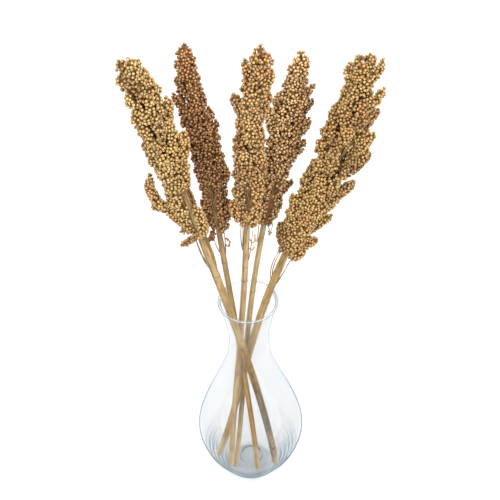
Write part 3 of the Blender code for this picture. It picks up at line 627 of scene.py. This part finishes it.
# Seed heads: each is a bunch of short branches that leave the straw axis, bend out and run up
# beside it, set closely with round grains. Lower down some branches hang loose as sprigs, and
# the front is partly bare, so that the straw shows. All of it grows from the stem.
# "outline" is (height, reach to the left, reach to the right) of the mass and "shoulder" the
# height where it turns dense. "bare" is (from height, to height, turn, half turn) of a side with
# no branches. A sprig is (turn, thickness, path), and its path is (height, distance from the axis).
HEADS = {
    1: {"seed": 11, "branches": 66, "shoulder": 0.478, "bare": ((0.400, 0.498, 328, 80),),
        "outline": ((0.412, 0.007, 0.006), (0.450, 0.013, 0.005), (0.490, 0.0205, 0.009),
                    (0.520, 0.0215, 0.0175), (0.560, 0.0235, 0.0215), (0.600, 0.0205, 0.0225),
                    (0.635, 0.0195, 0.0185), (0.660, 0.0165, 0.0135), (0.679, 0.009, 0.008)),
        "sprigs": (
            (182, 0.0062, ((0.426, 0.003), (0.446, 0.011), (0.470, 0.022), (0.486, 0.031),
                           (0.508, 0.032), (0.528, 0.025))),
            (178, 0.0052, ((0.486, 0.030), (0.473, 0.0365))),
            (196, 0.0040, ((0.436, 0.004), (0.441, 0.018))),
            (172, 0.0042, ((0.426, 0.004), (0.418, 0.015), (0.413, 0.026))),
            (184, 0.0066, ((0.446, 0.007), (0.466, 0.0135), (0.488, 0.014), (0.502, 0.013))),
            (325, 0.0064, ((0.426, 0.004), (0.442, 0.0095), (0.460, 0.0105), (0.472, 0.008))),
            (268, 0.0040, ((0.424, 0.004), (0.436, 0.0075))),
            (90, 0.0056, ((0.440, 0.004), (0.460, 0.012), (0.486, 0.015))),
            (355, 0.0062, ((0.530, 0.010), (0.556, 0.021), (0.573, 0.025))),
            (356, 0.0044, ((0.586, 0.013), (0.606, 0.022), (0.619, 0.0225))))},
    2: {"seed": 22, "branches": 62, "shoulder": 0.426, "bare": ((0.380, 0.468, 268, 24),),
        "outline": ((0.390, 0.006, 0.007), (0.420, 0.009, 0.017), (0.460, 0.013, 0.020),
                    (0.500, 0.0165, 0.0235), (0.535, 0.0235, 0.0195), (0.570, 0.0220, 0.0120),
                    (0.598, 0.0165, 0.009), (0.620, 0.0095, 0.007), (0.635, 0.004, 0.004)),
        "sprigs": (
            (188, 0.0042, ((0.398, 0.005), (0.388, 0.010), (0.388, 0.016))),
            (176, 0.0050, ((0.398, 0.004), (0.418, 0.009), (0.442, 0.012))),
            (6, 0.0056, ((0.402, 0.004), (0.418, 0.012), (0.438, 0.0165))),
            (80, 0.0050, ((0.400, 0.004), (0.424, 0.014))),
            (4, 0.0056, ((0.452, 0.010), (0.478, 0.0215))),
            (356, 0.0052, ((0.512, 0.010), (0.541, 0.018))),
            (184, 0.0052, ((0.546, 0.010), (0.578, 0.0215))),
            (186, 0.0044, ((0.592, 0.006), (0.613, 0.012))))},
    3: {"seed": 33, "branches": 62, "shoulder": 0.446, "bare": ((0.400, 0.492, 266, 22),),
        "outline": ((0.420, 0.006, 0.006), (0.438, 0.014, 0.014), (0.465, 0.0190, 0.0195),
                    (0.520, 0.0195, 0.0185), (0.570, 0.019, 0.0135), (0.610, 0.0165, 0.0150),
                    (0.645, 0.0125, 0.0155), (0.664, 0.005, 0.0145), (0.677, 0.002, 0.011)),
        "sprigs": (
            (182, 0.0058, ((0.428, 0.006), (0.442, 0.0125), (0.462, 0.0165))),
            (352, 0.0050, ((0.424, 0.004), (0.436, 0.011))),
            (268, 0.0036, ((0.436, 0.006), (0.452, 0.0075))),
            (70, 0.0052, ((0.426, 0.004), (0.444, 0.013))),
            (184, 0.0056, ((0.586, 0.010), (0.604, 0.018), (0.615, 0.0205))),
            (184, 0.0042, ((0.630, 0.007), (0.648, 0.0130), (0.657, 0.0145))),
            (210, 0.0046, ((0.646, 0.004), (0.665, 0.0085))),
            (354, 0.0048, ((0.612, 0.008), (0.634, 0.0125), (0.648, 0.0145))),
            (2, 0.0052, ((0.588, 0.009), (0.617, 0.0145))))},
    4: {"seed": 44, "branches": 62, "shoulder": 0.426, "bare": ((0.380, 0.462, 282, 24),),
        "outline": ((0.392, 0.005, 0.005), (0.412, 0.010, 0.010), (0.440, 0.014, 0.0155),
                    (0.480, 0.017, 0.018), (0.512, 0.0195, 0.0215), (0.546, 0.020, 0.0195),
                    (0.575, 0.0145, 0.014), (0.602, 0.012, 0.009), (0.620, 0.006, 0.006)),
        "sprigs": (
            (356, 0.0050, ((0.402, 0.005), (0.416, 0.010), (0.430, 0.0135))),
            (178, 0.0050, ((0.400, 0.004), (0.418, 0.012))),
            (90, 0.0050, ((0.402, 0.004), (0.424, 0.014))),
            (4, 0.0048, ((0.436, 0.008), (0.459, 0.021))),
            (358, 0.0060, ((0.484, 0.010), (0.500, 0.0185), (0.513, 0.0235))),
            (352, 0.0060, ((0.512, 0.010), (0.528, 0.0185), (0.542, 0.022))),
            (4, 0.0052, ((0.536, 0.009), (0.562, 0.021))),
            (354, 0.0046, ((0.556, 0.007), (0.582, 0.018))),
            (184, 0.0048, ((0.532, 0.009), (0.562, 0.0185))),
            (186, 0.0044, ((0.556, 0.005), (0.580, 0.0120))),
            (182, 0.0054, ((0.508, 0.009), (0.530, 0.0185), (0.547, 0.021))))},
    5: {"seed": 55, "branches": 72, "shoulder": 0.396,
        "bare": ((0.350, 0.374, 270, 30), (0.495, 0.540, 288, 15)),
        "outline": ((0.358, 0.006, 0.007), (0.378, 0.013, 0.0155), (0.404, 0.020, 0.0185),
                    (0.440, 0.0225, 0.0205), (0.475, 0.0235, 0.0235), (0.512, 0.0270, 0.0255),
                    (0.542, 0.0245, 0.0245), (0.580, 0.0195, 0.0225), (0.614, 0.0155, 0.0185),
                    (0.641, 0.006, 0.007)),
        "sprigs": (
            (352, 0.0064, ((0.362, 0.006), (0.368, 0.012), (0.380, 0.017))),
            (0, 0.0062, ((0.376, 0.008), (0.386, 0.018), (0.397, 0.0265))),
            (358, 0.0058, ((0.398, 0.009), (0.418, 0.019), (0.434, 0.0285))),
            (4, 0.0056, ((0.420, 0.010), (0.440, 0.020), (0.457, 0.0275))),
            (358, 0.0066, ((0.440, 0.012), (0.462, 0.024), (0.484, 0.034))),
            (4, 0.0062, ((0.478, 0.014), (0.500, 0.028), (0.519, 0.0375))),
            (0, 0.0050, ((0.498, 0.024), (0.512, 0.029), (0.526, 0.031))),
            (356, 0.0062, ((0.512, 0.014), (0.532, 0.025), (0.548, 0.030))),
            (4, 0.0056, ((0.540, 0.012), (0.558, 0.021), (0.573, 0.0265))),
            (356, 0.0050, ((0.568, 0.012), (0.586, 0.0215), (0.600, 0.0250))),
            (2, 0.0040, ((0.604, 0.011), (0.620, 0.0185), (0.631, 0.020))),
            (350, 0.0044, ((0.612, 0.005), (0.636, 0.0105))),
            (184, 0.0044, ((0.596, 0.009), (0.614, 0.0155), (0.627, 0.013))),
            (180, 0.0052, ((0.540, 0.012), (0.566, 0.0205))),
            (184, 0.0056, ((0.416, 0.008), (0.448, 0.0235))),
            (177, 0.0056, ((0.374, 0.004), (0.386, 0.013), (0.406, 0.0205))),
            (80, 0.0052, ((0.372, 0.004), (0.394, 0.015))))},
}
BRANCH_LENGTH = 0.046
BRANCH_THICKNESS = 0.0062
BRANCH_TURN = math.radians(137.5)
BRANCH_BEND = 1.7
BRANCH_STATIONS = 24
WIDEST_BELOW_TIP = 0.3
TIP_ROOM = 0.003
SHORTEST_BRANCH = 0.020
CLUSTERS = 3.4
CLUSTER_SWELL = 0.30


def mass_reach(head, height, turn):
    """How far the mass reaches from its axis, between its left and its right outline."""
    heights, left, right = zip(*head["outline"])
    left_reach = np.interp(height, heights, left)
    right_reach = np.interp(height, heights, right)
    return (left_reach + right_reach) / 2 + (right_reach - left_reach) / 2 * np.cos(turn)


def is_bare(head, height, turn):
    """Whether a side of the head is bare at these heights and turns."""
    bare = np.zeros(np.shape(height), bool)
    for low, high, centre, half_turn in head["bare"]:
        away = np.abs((turn - math.radians(centre) + math.pi) % math.tau - math.pi)
        bare |= (height > low) & (height < high) & (away < math.radians(half_turn))
    return bare


def raised_root(head, root, turn):
    """Where a branch leaves the axis: not below the mass, nor on a side that is bare there."""
    root = max(root, head["outline"][0][0])
    for low, high, centre, half_turn in head["bare"]:
        away = abs((turn - math.radians(centre) + math.pi) % math.tau - math.pi)
        if away < math.radians(half_turn) and low <= root < high:
            root = high
    return root


def seed_branches(head):
    """Tight branches as (root height, tip height, turn, reach), set out in a rising spiral."""
    draw = random.Random(head["seed"])
    low = head["shoulder"]
    high = head["outline"][-1][0] - TIP_ROOM
    branches = []
    for index in range(head["branches"]):
        share = (index + 0.5) / head["branches"]
        tip = low + (high - low) * share + draw.uniform(-0.003, 0.003)
        turn = (index * BRANCH_TURN + draw.uniform(-0.25, 0.25)) % math.tau
        length = BRANCH_LENGTH * draw.uniform(0.85, 1.15) * (1 - 0.3 * share)
        widest = tip - WIDEST_BELOW_TIP * length
        reach = float(mass_reach(head, widest, turn)) * draw.uniform(0.94, 1.10)
        root = raised_root(head, tip - length, turn)
        if tip - root > SHORTEST_BRANCH:
            branches.append((root, tip, turn, max(reach - BRANCH_THICKNESS, 0.0)))
    return branches


def branch_shape(reach, share):
    """A tight branch's distance from the axis and its thickness, by share of its length."""
    distance = reach * (1 - (1 - share) ** BRANCH_BEND)
    return distance, BRANCH_THICKNESS * np.sqrt(1 - np.abs(2 * share - 1) ** 3)


def skin_over(branches, heights, turns):
    """How far from the axis the branches reach at each height and turn."""
    found = np.zeros(len(heights))
    for root, tip, branch_turn, reach in branches:
        share = (heights - root) / (tip - root)
        distance, thickness = branch_shape(reach, np.clip(share, 0, 1))
        sideways = distance * np.sin(turns - branch_turn)
        along = distance * np.cos(turns - branch_turn)
        covered = (share > 0) & (share < 1) & (along >= 0) & (np.abs(sideways) < thickness)
        ridge = along + np.sqrt(np.clip(thickness ** 2 - sideways ** 2, 0, None))
        found = np.maximum(found, np.where(covered, ridge, 0))
    return found


def branch_spine(stem, branch):
    """A tight branch's centre line and its thickness along it."""
    root, tip, turn, reach = branch
    share = np.linspace(0.0, 1.0, BRANCH_STATIONS)
    distance, thickness = branch_shape(reach, share)
    thickness = thickness * (1 + CLUSTER_SWELL * np.sin(math.tau * (share * CLUSTERS + turn)))
    return beside_route(stem, root + (tip - root) * share, turn, distance), thickness


def lengths_along(points):
    """How far along a line each of its points lies."""
    return np.concatenate([[0.0], np.cumsum(np.linalg.norm(np.diff(points, axis=0), axis=1))])


def sprig_spine(stem, sprig):
    """A loose sprig's centre line and its thickness along it."""
    turn, thickness, path = sprig
    heights, distances = zip(*path)
    corners = beside_route(stem, heights, math.radians(turn), distances)
    run = lengths_along(corners)
    share = np.linspace(0.0, 1.0, BRANCH_STATIONS)
    spine = np.column_stack([np.interp(share * run[-1], run, corners[:, axis]) for axis in range(3)])
    return spine, thickness * np.sqrt(1 - np.abs(2 * share - 1) ** 4)


# Grains: hard round seeds of 3.3 mm, each seated in a dark husk with its pale tip outwards; the pale tip is
# a painted highlight.
GRAIN_SIZE = (0.00166, 0.00166, 0.00178)
GRAIN_SIDES = 7
GRAIN_RINGS = 4
ROW_STEP = 0.0027
GRAIN_SPACING = 0.0031
LEAST_SPACING = 0.00265
SEAT_SINK = 0.0013
DEPTH_KEPT = 0.0062
STRAW_ROOM = 0.0012
BOX_ROOM = 0.0016


def seats_round(spine, widths, draw):
    """Seats of grains in staggered rows round a spine: their places and the ways they face."""
    run = lengths_along(spine)
    rows = max(2, round(run[-1] / ROW_STEP))
    places = []
    facings = []
    for row in range(rows + 1):
        at = run[-1] * row / rows
        centre, before, after = (np.array([np.interp(spot, run, spine[:, axis]) for axis in range(3)])
                                 for spot in (at, at - 0.002, at + 0.002))
        ahead = unit(after - before)
        width = max(float(np.interp(at, run, widths)) - SEAT_SINK, 0.0)
        count = max(1, round(math.tau * width / GRAIN_SPACING))
        side = unit(np.cross(ahead, (0.3, 1.0, 0.1)))
        other = np.cross(ahead, side)
        turns = np.array([math.tau * (index + 0.5 * (row % 2)) / count + draw.uniform(-0.25, 0.25)
                          for index in range(count)])
        out = np.cos(turns)[:, None] * side + np.sin(turns)[:, None] * other
        shift = np.array([draw.uniform(-0.0006, 0.0006) for index in range(count)])
        widen = np.array([draw.uniform(-0.0004, 0.0005) for index in range(count)])
        places.append(centre + out * (width + widen)[:, None] + ahead * shift[:, None])
        lean = 0.45 if width > 0.0012 else 4.0
        facings.append(unit(out + ahead * lean))
    return np.concatenate(places), np.concatenate(facings)


def well_spaced(places, order, least):
    """The seats that stay when each keeps its distance from those before it in the order."""
    cells = {}
    kept = []
    for index in order:
        place = places[index]
        cell = tuple(int(math.floor(value / least)) for value in place)
        near = (cells.get((cell[0] + i, cell[1] + j, cell[2] + k), ())
                for i in (-1, 0, 1) for j in (-1, 0, 1) for k in (-1, 0, 1))
        if all(sum((a - b) ** 2 for a, b in zip(place, other)) >= least * least
               for group in near for other in group):
            cells.setdefault(cell, []).append(tuple(place))
            kept.append(index)
    return np.array(kept)


def seats_of(head_number):
    """All grain seats of a head: places, facings, and the number of the branch each grows on."""
    head = HEADS[head_number]
    draw = random.Random(head["seed"] + 100)
    branches = seed_branches(head)
    spines = [branch_spine(head_number, branch) for branch in branches]
    spines += [sprig_spine(head_number, sprig) for sprig in head["sprigs"]]
    places = []
    facings = []
    owners = []
    for owner, (spine, widths) in enumerate(spines):
        found, facing = seats_round(spine, widths, draw)
        places.append(found)
        facings.append(facing)
        owners.append(np.full(len(found), owner))
    places = np.concatenate(places)
    facings = np.concatenate(facings)
    owners = np.concatenate(owners)
    right, back = across_route(head_number, places[:, 2])
    offset = places - on_route(head_number, places[:, 2])
    sideways = (offset * right).sum(1)
    backwards = (offset * back).sum(1)
    distance = np.hypot(sideways, backwards)
    turns = np.arctan2(backwards, sideways)
    loose = owners >= len(branches)
    depth = np.where(loose, 0.0, skin_over(branches, places[:, 2], turns) - distance)
    clear = distance > stem_radius(head_number, places[:, 2]) + STRAW_ROOM
    low, high = (np.array(list(corner)) for corner in cad_box)
    within = np.all((places > low + BOX_ROOM) & (places < high - BOX_ROOM), axis=1)
    shown = loose | ~is_bare(head, places[:, 2], turns)
    candidates = np.flatnonzero((depth < DEPTH_KEPT) & clear & within & shown)
    order = candidates[np.argsort(depth[candidates], kind="stable")]
    kept = well_spaced(places, order, LEAST_SPACING)
    return places[kept], facings[kept], owners[kept], turns[kept], spines


def strewn(name, template, places, facings, sizes, rolls):
    """Copies of a template in one mesh, each standing on its place along its facing."""
    shape = points_of(template)
    side = unit(np.cross(facings, (0.29, 0.53, 0.8)))
    other = np.cross(facings, side)
    across = np.cos(rolls)[:, None] * side + np.sin(rolls)[:, None] * other
    frames = np.stack([across, np.cross(facings, across), facings], axis=1)
    points = places[:, None, :] + np.einsum("ti,ni,nij->ntj", shape, sizes, frames)
    corners = np.zeros(len(template.loops), np.int32)
    template.loops.foreach_get("vertex_index", corners)
    starts = np.zeros(len(template.polygons), np.int32)
    template.polygons.foreach_get("loop_start", starts)
    copies = np.arange(len(places), dtype=np.int32)[:, None]
    mesh = bpy.data.meshes.new(name)
    mesh.vertices.add(len(places) * len(shape))
    mesh.vertices.foreach_set("co", points.astype(np.float32).ravel())
    mesh.loops.add(len(places) * len(corners))
    mesh.loops.foreach_set("vertex_index", (corners + copies * len(shape)).astype(np.int32).ravel())
    mesh.polygons.add(len(places) * len(starts))
    mesh.polygons.foreach_set("loop_start", (starts + copies * len(corners)).astype(np.int32).ravel())
    mesh.update(calc_edges=True)
    mesh.shade_smooth()
    return add_object(name, mesh)


def keep_reading(mesh, name, values, copies):
    """A reading for every point: one value a copy, or one value a template point."""
    count = len(mesh.vertices) // copies
    spread = np.repeat(values, count) if len(values) == copies else np.tile(values, copies)
    layer = mesh.attributes.new(name, "FLOAT", "POINT")
    layer.data.foreach_set("value", spread.astype(np.float32))


grain_bm = bmesh.new()
bmesh.ops.create_uvsphere(grain_bm, u_segments=GRAIN_SIDES, v_segments=GRAIN_RINGS, radius=1.0)
grain_template = mesh_from(grain_bm, "grain")
# How far along each grain a point lies, 0 at its base and 1 at its tip, where the highlight is painted.
grain_tips = points_of(grain_template)[:, 2] * 0.5 + 0.5

husk_bm = bmesh.new()
bmesh.ops.create_cone(husk_bm, cap_ends=True, segments=6, radius1=0.0, radius2=1.12, depth=1.3)
bmesh.ops.remove_doubles(husk_bm, verts=husk_bm.verts, dist=0.001)
bmesh.ops.translate(husk_bm, verts=husk_bm.verts, vec=(0, 0, -0.55))
husk_rim = sorted((vert for vert in husk_bm.verts if vert.co.z > 0),
                  key=lambda vert: math.atan2(vert.co.y, vert.co.x))
for vert in husk_rim[::2]:
    vert.co = (vert.co.x * 0.9, vert.co.y * 0.9, vert.co.z + 0.45)
for vert in husk_rim[1::2]:
    vert.co.z -= 0.30
bmesh.ops.recalc_face_normals(husk_bm, faces=husk_bm.faces)
husk_template = mesh_from(husk_bm, "husk")

# Grain colours for each head, in screen values: husk side, flank and pale tip, the tip being a painted
# highlight, then how red brown the head is at the left, at the right, low down and high up.
GRAIN_COLOURS_AND_PAINTED_LIGHT = {
    1: ((126, 88, 44), (182, 146, 86), (202, 174, 116), (0.03, 0.12, 0.16, 0.08)),
    # Heads 2 and 4 stand behind the others, and their colours are partly lifted as painted light against the
    # shade cast by the heads in front.
    2: ((100, 62, 33), (154, 107, 64), (202, 158, 106), (0.50, 0.04, 0.0, 0.30)),
    3: ((116, 80, 38), (172, 131, 76), (202, 168, 114), (0.10, 0.16, 0.12, 0.18)),
    4: ((126, 86, 46), (190, 148, 94), (224, 188, 136), (0.02, 0.34, 0.10, 0.0)),
    5: ((120, 86, 42), (170, 134, 77), (194, 164, 106), (0.08, 0.05, 0.12, 0.10)),
}
# Red brown grains, with a paler painted highlight at their tips.
RED_GRAIN = (120, 70, 34)
RED_HIGHLIGHT = (182, 122, 70)
MIDDLE_TINT = 0.55
TINT_SPREAD = 0.20
BRANCH_TINT_SPREAD = 0.24
RED_SPREAD = 0.10
BRANCH_RED_SPREAD = 0.16


def grain_material(number):
    husk_side, flank, tip, _ = GRAIN_COLOURS_AND_PAINTED_LIGHT[number]
    made, tree, shader = new_material(f"grain_{number}")
    up, tint, red = (add_node(tree, "ShaderNodeAttribute", attribute_name=reading).outputs["Fac"]
                     for reading in ("tip", "tint", "red"))
    place = add_node(tree, "ShaderNodeTexCoord").outputs["Object"]
    speckle = add_node(tree, "ShaderNodeTexNoise", [("Vector", place), ("Scale", 900.0), ("Detail", 2.0)])
    # From the husk-brown base through the flank to a pale painted highlight at the tip, broken by speckle.
    husk_to_highlight = reckoned(tree, "MULTIPLY_ADD", speckle.outputs["Fac"], 0.22, up)
    golden = ramp(tree, husk_to_highlight, [(0.34, paint(*husk_side)), (0.56, paint(*flank)), (0.80, paint(*flank)),
                               (1.0, paint(*tip))])
    ruddy = ramp(tree, husk_to_highlight, [(0.34, paint(70, 42, 24)), (0.60, paint(*RED_GRAIN)), (1.0, paint(*RED_HIGHLIGHT))])
    colour = blended(tree, red, golden, ruddy)
    shade = ramp(tree, tint, [(0.0, (0.50, 0.45, 0.40, 1)), (0.5, (0.86, 0.86, 0.86, 1)),
                              (1.0, (1.0, 1.0, 0.92, 1))])
    dry_finish(tree, shader, multiply(tree, colour, shade), speckle.outputs["Fac"],
               (0.3, 0.7, 0.44, 0.60), 0.25, 0.0004)
    return made


def husk_material(number, name, dark, light, scale):
    made, tree, shader = new_material(f"{name}_{number}")
    place = add_node(tree, "ShaderNodeTexCoord").outputs["Object"]
    noise = add_node(tree, "ShaderNodeTexNoise", [("Vector", place), ("Scale", scale), ("Detail", 4.0)])
    colour = ramp(tree, noise.outputs["Fac"], [(0.34, paint(*dark)), (0.66, paint(*light))])
    dry_finish(tree, shader, colour, noise.outputs["Fac"], (0.3, 0.7, 0.75, 0.5), 0.6, 0.0006)
    return made


# Chaff: the broken husks and fine twigs that fill each branch, seen in the gaps between grains.
CHAFF_SHARE = 0.45
CHAFF_LEAST_RADIUS = 0.0004
CHAFF_COLOURS = ((88, 60, 32), (142, 102, 60))
HUSK_COLOURS = {1: ((102, 70, 36), (160, 122, 72)), 2: ((86, 54, 30), (142, 98, 58)),
                3: ((108, 72, 38), (168, 122, 72)), 4: ((104, 70, 36), (164, 120, 68)),
                5: ((110, 76, 40), (170, 128, 74))}

for number in HEADS:
    places, facings, owners, turns, spines = seats_of(number)
    count = len(places)
    dice = np.random.default_rng(HEADS[number]["seed"])
    sizes = np.array(GRAIN_SIZE) * dice.normal(1.0, 0.05, (count, 1)).clip(0.88, 1.12)
    rolls = dice.uniform(0, math.tau, count)
    branch_tints = dice.normal(0.0, BRANCH_TINT_SPREAD, len(spines))[owners]
    tints = (MIDDLE_TINT + branch_tints + dice.normal(0.0, TINT_SPREAD, count)).clip(0.0, 1.0)
    left, right, low, high = GRAIN_COLOURS_AND_PAINTED_LIGHT[number][3]
    share = np.interp(places[:, 2], STEMS[number]["mass"], (0.0, 1.0))
    reds = (np.where(np.cos(turns) < 0, left, right) * np.abs(np.cos(turns))
            + low * (1 - share) + high * share
            + dice.normal(0.0, BRANCH_RED_SPREAD, len(spines))[owners]
            + dice.normal(0.0, RED_SPREAD, count)).clip(0.0, 1.0)

    grains = strewn(f"grains_{number}", grain_template, places, facings, sizes, rolls)
    keep_reading(grains.data, "tip", grain_tips, count)
    keep_reading(grains.data, "tint", tints, count)
    keep_reading(grains.data, "red", reds, count)
    grains.data.materials.append(grain_material(number))
    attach(grains, "root")
    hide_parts(f"head_{number}")

    husks = strewn(f"husks_{number}", husk_template, places, facings, sizes, rolls + 0.3)
    husks.data.materials.append(husk_material(number, "husk", *HUSK_COLOURS[number], 700.0))
    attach(husks, "root")

    chaff_lines = [(spine[::3], np.maximum(widths[::3] * CHAFF_SHARE, CHAFF_LEAST_RADIUS))
                   for spine, widths in spines]
    chaff = tubes(f"chaff_{number}", chaff_lines, 1)
    chaff.data.materials.append(husk_material(number, "chaff", *CHAFF_COLOURS, 500.0))
    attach(chaff, "root")

# Rays: bare straw threads that hug the stem below the head and run up into it as the first
# stretch of its branches, with a few curled ends that still hold a seed or two. They are part
# of the same growth. A thread is its points as (height, turn in degrees, distance from the axis).
THREAD_RADIUS = 0.00055
THREAD_STATIONS = 22
THREADS = {
    1: (((0.372, 178, 0.0040), (0.395, 182, 0.0072), (0.425, 186, 0.0064), (0.455, 190, 0.0054)),
        ((0.376, 190, 0.0040), (0.400, 196, 0.0060), (0.440, 200, 0.0052)),
        ((0.374, 5, 0.0040), (0.398, 0, 0.0062), (0.425, 352, 0.0058), (0.452, 340, 0.0056)),
        ((0.380, 350, 0.0041), (0.400, 345, 0.0056), (0.440, 330, 0.0052), (0.490, 320, 0.0048)),
        ((0.384, 280, 0.0042), (0.430, 286, 0.0049), (0.500, 292, 0.0046)),
        ((0.400, 240, 0.0042), (0.450, 236, 0.0050), (0.510, 230, 0.0052)),
        ((0.420, 310, 0.0042), (0.462, 318, 0.0054), (0.506, 300, 0.0052))),
    2: (((0.366, 186, 0.0032), (0.378, 190, 0.0062), (0.394, 192, 0.0066)),
        ((0.362, 2, 0.0032), (0.380, 4, 0.0050), (0.404, 6, 0.0060)),
        ((0.376, 0, 0.0050), (0.372, 4, 0.0085), (0.378, 4, 0.0100), (0.384, 2, 0.0080)),
        ((0.380, 300, 0.0034), (0.420, 292, 0.0044), (0.474, 286, 0.0044)),
        ((0.385, 256, 0.0034), (0.430, 250, 0.0048), (0.480, 248, 0.0046)),
        ((0.400, 272, 0.0034), (0.440, 274, 0.0050), (0.488, 270, 0.0056))),
    3: (((0.385, 180, 0.0036), (0.402, 184, 0.0060), (0.424, 190, 0.0064)),
        ((0.390, 200, 0.0038), (0.410, 214, 0.0050), (0.440, 222, 0.0056)),
        ((0.370, 0, 0.0036), (0.392, 356, 0.0056), (0.416, 350, 0.0064)),
        ((0.402, 4, 0.0040), (0.396, 2, 0.0075), (0.404, 0, 0.0095)),
        ((0.388, 2, 0.0038), (0.385, 0, 0.0070), (0.390, 358, 0.0088)),
        ((0.400, 262, 0.0038), (0.450, 258, 0.0047), (0.505, 252, 0.0050)),
        ((0.420, 284, 0.0037), (0.460, 288, 0.0049), (0.508, 296, 0.0052)),
        ((0.430, 240, 0.0038), (0.470, 232, 0.0052), (0.510, 226, 0.0056))),
    4: (((0.398, 4, 0.0034), (0.392, 2, 0.0068), (0.384, 0, 0.0082)),
        ((0.408, 2, 0.0040), (0.402, 0, 0.0085), (0.392, 2, 0.0100), (0.387, 4, 0.0092)),
        ((0.372, 182, 0.0032), (0.388, 184, 0.0050), (0.410, 188, 0.0060)),
        ((0.400, 276, 0.0034), (0.432, 282, 0.0046), (0.476, 288, 0.0048)),
        ((0.410, 300, 0.0034), (0.440, 308, 0.0048), (0.470, 314, 0.0050)),
        ((0.406, 256, 0.0034), (0.436, 250, 0.0046), (0.470, 246, 0.0046))),
    5: (((0.326, 180, 0.0042), (0.342, 184, 0.0092), (0.362, 186, 0.0098), (0.384, 184, 0.0060)),
        ((0.332, 186, 0.0042), (0.346, 190, 0.0076), (0.372, 196, 0.0072), (0.396, 200, 0.0062)),
        ((0.320, 0, 0.0044), (0.336, 356, 0.0066), (0.356, 352, 0.0078)),
        ((0.326, 346, 0.0044), (0.344, 344, 0.0070), (0.362, 340, 0.0082)),
        ((0.340, 270, 0.0042), (0.366, 272, 0.0052), (0.398, 276, 0.0066)),
        ((0.346, 246, 0.0042), (0.368, 240, 0.0056), (0.400, 232, 0.0080)),
        ((0.490, 300, 0.0046), (0.512, 300, 0.0085), (0.545, 306, 0.0120)),
        ((0.488, 288, 0.0044), (0.512, 288, 0.0075), (0.552, 292, 0.0110)),
        ((0.486, 276, 0.0044), (0.512, 276, 0.0070), (0.550, 278, 0.0100)),
        ((0.488, 262, 0.0044), (0.512, 262, 0.0072), (0.546, 262, 0.0110)),
        ((0.492, 312, 0.0048), (0.512, 312, 0.0090), (0.538, 316, 0.0130))),
}
# Seeds left on threads, as (stem, height, turn in degrees, distance from the axis).
THREAD_SEEDS = (
    (2, 0.378, 4, 0.0102), (2, 0.381, 8, 0.0082), (2, 0.375, 0, 0.0086), (2, 0.384, 2, 0.0068),
    (3, 0.405, 0, 0.0098), (3, 0.402, 356, 0.0112), (3, 0.399, 0, 0.0104), (3, 0.408, 4, 0.0092),
    (3, 0.390, 358, 0.0092), (3, 0.387, 0, 0.0080),
    (4, 0.384, 0, 0.0086), (4, 0.386, 4, 0.0100), (4, 0.388, 358, 0.0072))
THREAD_SEED_SIZE = 0.82
THREAD_SEED_TINT = 0.1
THREAD_SEED_RED = 0.8


def thread_line(stem, knots):
    """A smooth line through a thread's points."""
    points = np.concatenate([beside_route(stem, height, math.radians(turn), distance)
                             for height, turn, distance in knots])
    run = lengths_along(points)
    share = np.linspace(0.0, run[-1], THREAD_STATIONS)
    return np.column_stack([np.polyval(np.polyfit(run, points[:, axis], len(run) - 1), share)
                            for axis in range(3)])


def thread_material(number):
    made, tree, shader = new_material(f"thread_{number}")
    place = add_node(tree, "ShaderNodeTexCoord").outputs["Object"]
    pattern = add_node(tree, "ShaderNodeGroup", node_tree=STRAW_PATTERN)
    tree.links.new(place, pattern.inputs["Place"])
    pattern.inputs["Fleck Amount"].default_value = 0.04
    mottle = pattern.outputs["Mottle"]
    colour = ramp(tree, mottle, [(0.32, paint(104, 74, 38)), (0.50, paint(142, 108, 62)),
                                 (0.70, paint(180, 150, 100))])
    dry_finish(tree, shader, colour, mottle, (0.3, 0.7, 0.7, 0.45), 0.3, 0.0004)
    return made


for number, threads in THREADS.items():
    lines = [(thread_line(number, knots), THREAD_RADIUS * np.linspace(1.25, 0.75, THREAD_STATIONS))
             for knots in threads]
    rays = tubes(f"rays_{number}", lines, 1)
    rays.data.materials.append(thread_material(number))
    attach(rays, "root")

seed_dice = np.random.default_rng(9)
for number in sorted({seed[0] for seed in THREAD_SEEDS}):
    places = np.concatenate([beside_route(stem, height, math.radians(turn), distance)
                             for stem, height, turn, distance in THREAD_SEEDS if stem == number])
    count = len(places)
    facings = unit(seed_dice.normal(0.0, 0.6, (count, 3)) + (0.0, -0.5, 0.4))
    sizes = np.array(GRAIN_SIZE) * THREAD_SEED_SIZE * np.ones((count, 1))
    rolls = seed_dice.uniform(0, math.tau, count)
    seeds = strewn(f"thread_seeds_{number}", grain_template, places, facings, sizes, rolls)
    keep_reading(seeds.data, "tip", grain_tips, count)
    keep_reading(seeds.data, "tint", np.full(count, THREAD_SEED_TINT), count)
    keep_reading(seeds.data, "red", np.full(count, THREAD_SEED_RED), count)
    seeds.data.materials.append(bpy.data.materials[f"grain_{number}"])
    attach(seeds, "root")
